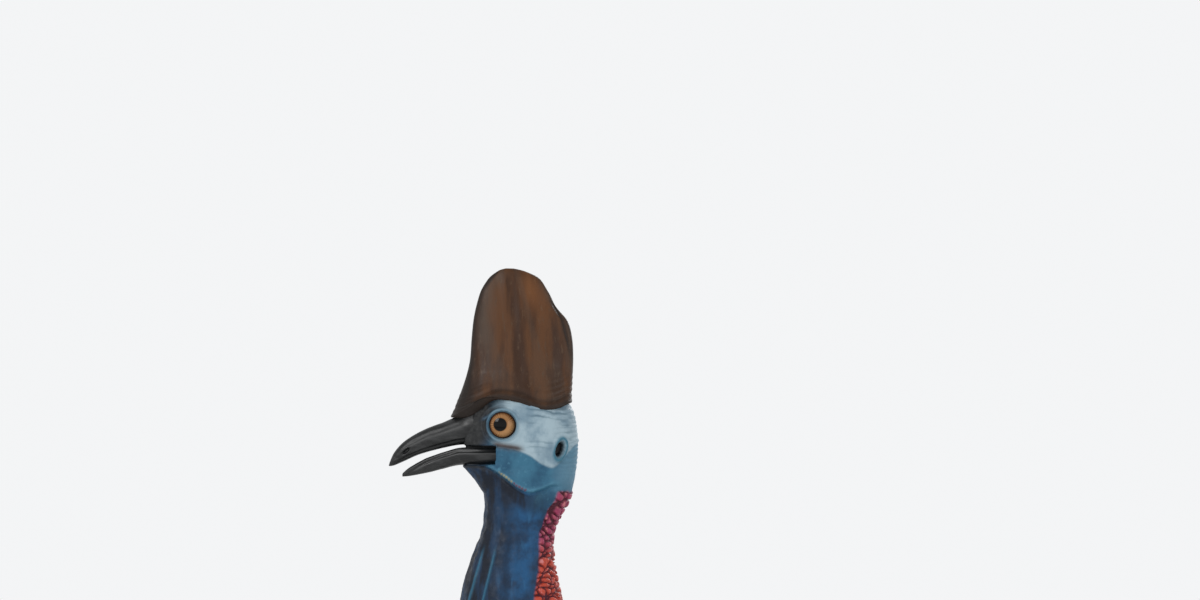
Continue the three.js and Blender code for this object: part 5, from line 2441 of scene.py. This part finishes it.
@dataclass(frozen=True)
class Lamp:
    """One soft square light: where it stands, how large it is and its power in watts."""

    name: str
    spot: Row
    size: float
    power: float


@dataclass
class Stage:
    """Camera, floor and soft studio light."""

    look_y: float = -178.2
    look_z: float = 1665.4
    distance: float = 5200
    frame_width: float = 1296
    farthest: float = 200
    sensor: float = 36.0
    floor_half: float = 9000
    aim: Row = (0, -200, 1250)
    lamps: tuple[Lamp, ...] = (
        Lamp("key", (3200, -2600, 3600), size=1500, power=62),
        Lamp("fill", (2600, 2400, 2200), size=1800, power=16),
        Lamp("back", (-3000, 1500, 3000), size=1800, power=55),
    )
    air: Row = (0.98, 0.99, 1.0, 1)
    air_heights: Span = (0.12, 0.7)
    air_strengths: Span = (0.92, 0.46)

    def build(self) -> None:
        """Builds the stage."""
        s = self.floor_half
        corners = np.array([[-s, -s, 0], [s, -s, 0], [s, s, 0], [-s, s, 0]])
        floor = mesh_object("floor", corners, [(0, 1, 2, 3)])
        floor.data.materials.append(FloorFinish().build())
        self.camera()
        for lamp in self.lamps:
            self.light(lamp)
        self.surroundings()
        bpy.context.scene.view_settings.view_transform = "Standard"

    def surroundings(self) -> None:
        """Lights the scene from all round, less from straight above."""
        world = bpy.data.worlds.new("studio")
        world.use_nodes = True
        tree = world.node_tree
        background = tree.nodes["Background"]
        background.inputs["Color"].default_value = self.air
        place = tree.nodes.new("ShaderNodeTexCoord")
        parts = tree.nodes.new("ShaderNodeSeparateXYZ")
        fade = tree.nodes.new("ShaderNodeMapRange")
        limits = (*self.air_heights, *self.air_strengths)
        for name, number in zip(("From Min", "From Max", "To Min", "To Max"), limits):
            fade.inputs[name].default_value = number
        tree.links.new(place.outputs["Generated"], parts.inputs["Vector"])
        tree.links.new(parts.outputs["Z"], fade.inputs["Value"])
        tree.links.new(fade.outputs["Result"], background.inputs["Strength"])
        bpy.context.scene.world = world

    def camera(self) -> None:
        """Looks at the bird's left side with the photograph's framing."""
        camera = bpy.data.cameras.new("camera")
        camera.sensor_width = self.sensor
        camera.lens = self.sensor * self.distance / self.frame_width
        camera.clip_end = self.farthest
        eye = bpy.data.objects.new("camera", camera)
        eye.location = to_frame([self.distance, self.look_y, self.look_z])
        eye.rotation_euler = (np.pi / 2, 0, np.pi / 2)
        bpy.context.scene.collection.objects.link(eye)
        bpy.context.scene.camera = eye

    def light(self, lamp: Lamp) -> None:
        """Sets up a light that faces the bird's neck.

        Args:
            lamp: The light.
        """
        data = bpy.data.lights.new(lamp.name, "AREA")
        data.size = lamp.size / MM
        data.energy = lamp.power
        thing = bpy.data.objects.new(lamp.name, data)
        thing.location = to_frame(lamp.spot)
        aim = Vector(to_frame(self.aim)) - thing.location
        thing.rotation_euler = aim.to_track_quat("-Z", "Y").to_euler()
        bpy.context.scene.collection.objects.link(thing)


def main() -> None:
    """Builds the bird and its stage."""
    logging.basicConfig(level=logging.INFO, format="%(name)s: %(message)s")
    finishes = Finishes()
    legs = Legs(finishes)
    Skin(finishes, legs).build()
    Casque(finishes).build()
    Bill(finishes).build()
    Eyes(finishes).build()
    legs.build()
    coat = Coat(finishes, legs)
    coat.build()
    Wings(finishes, coat).build()
    Stage().build()


if __name__ == "__main__":
    main()
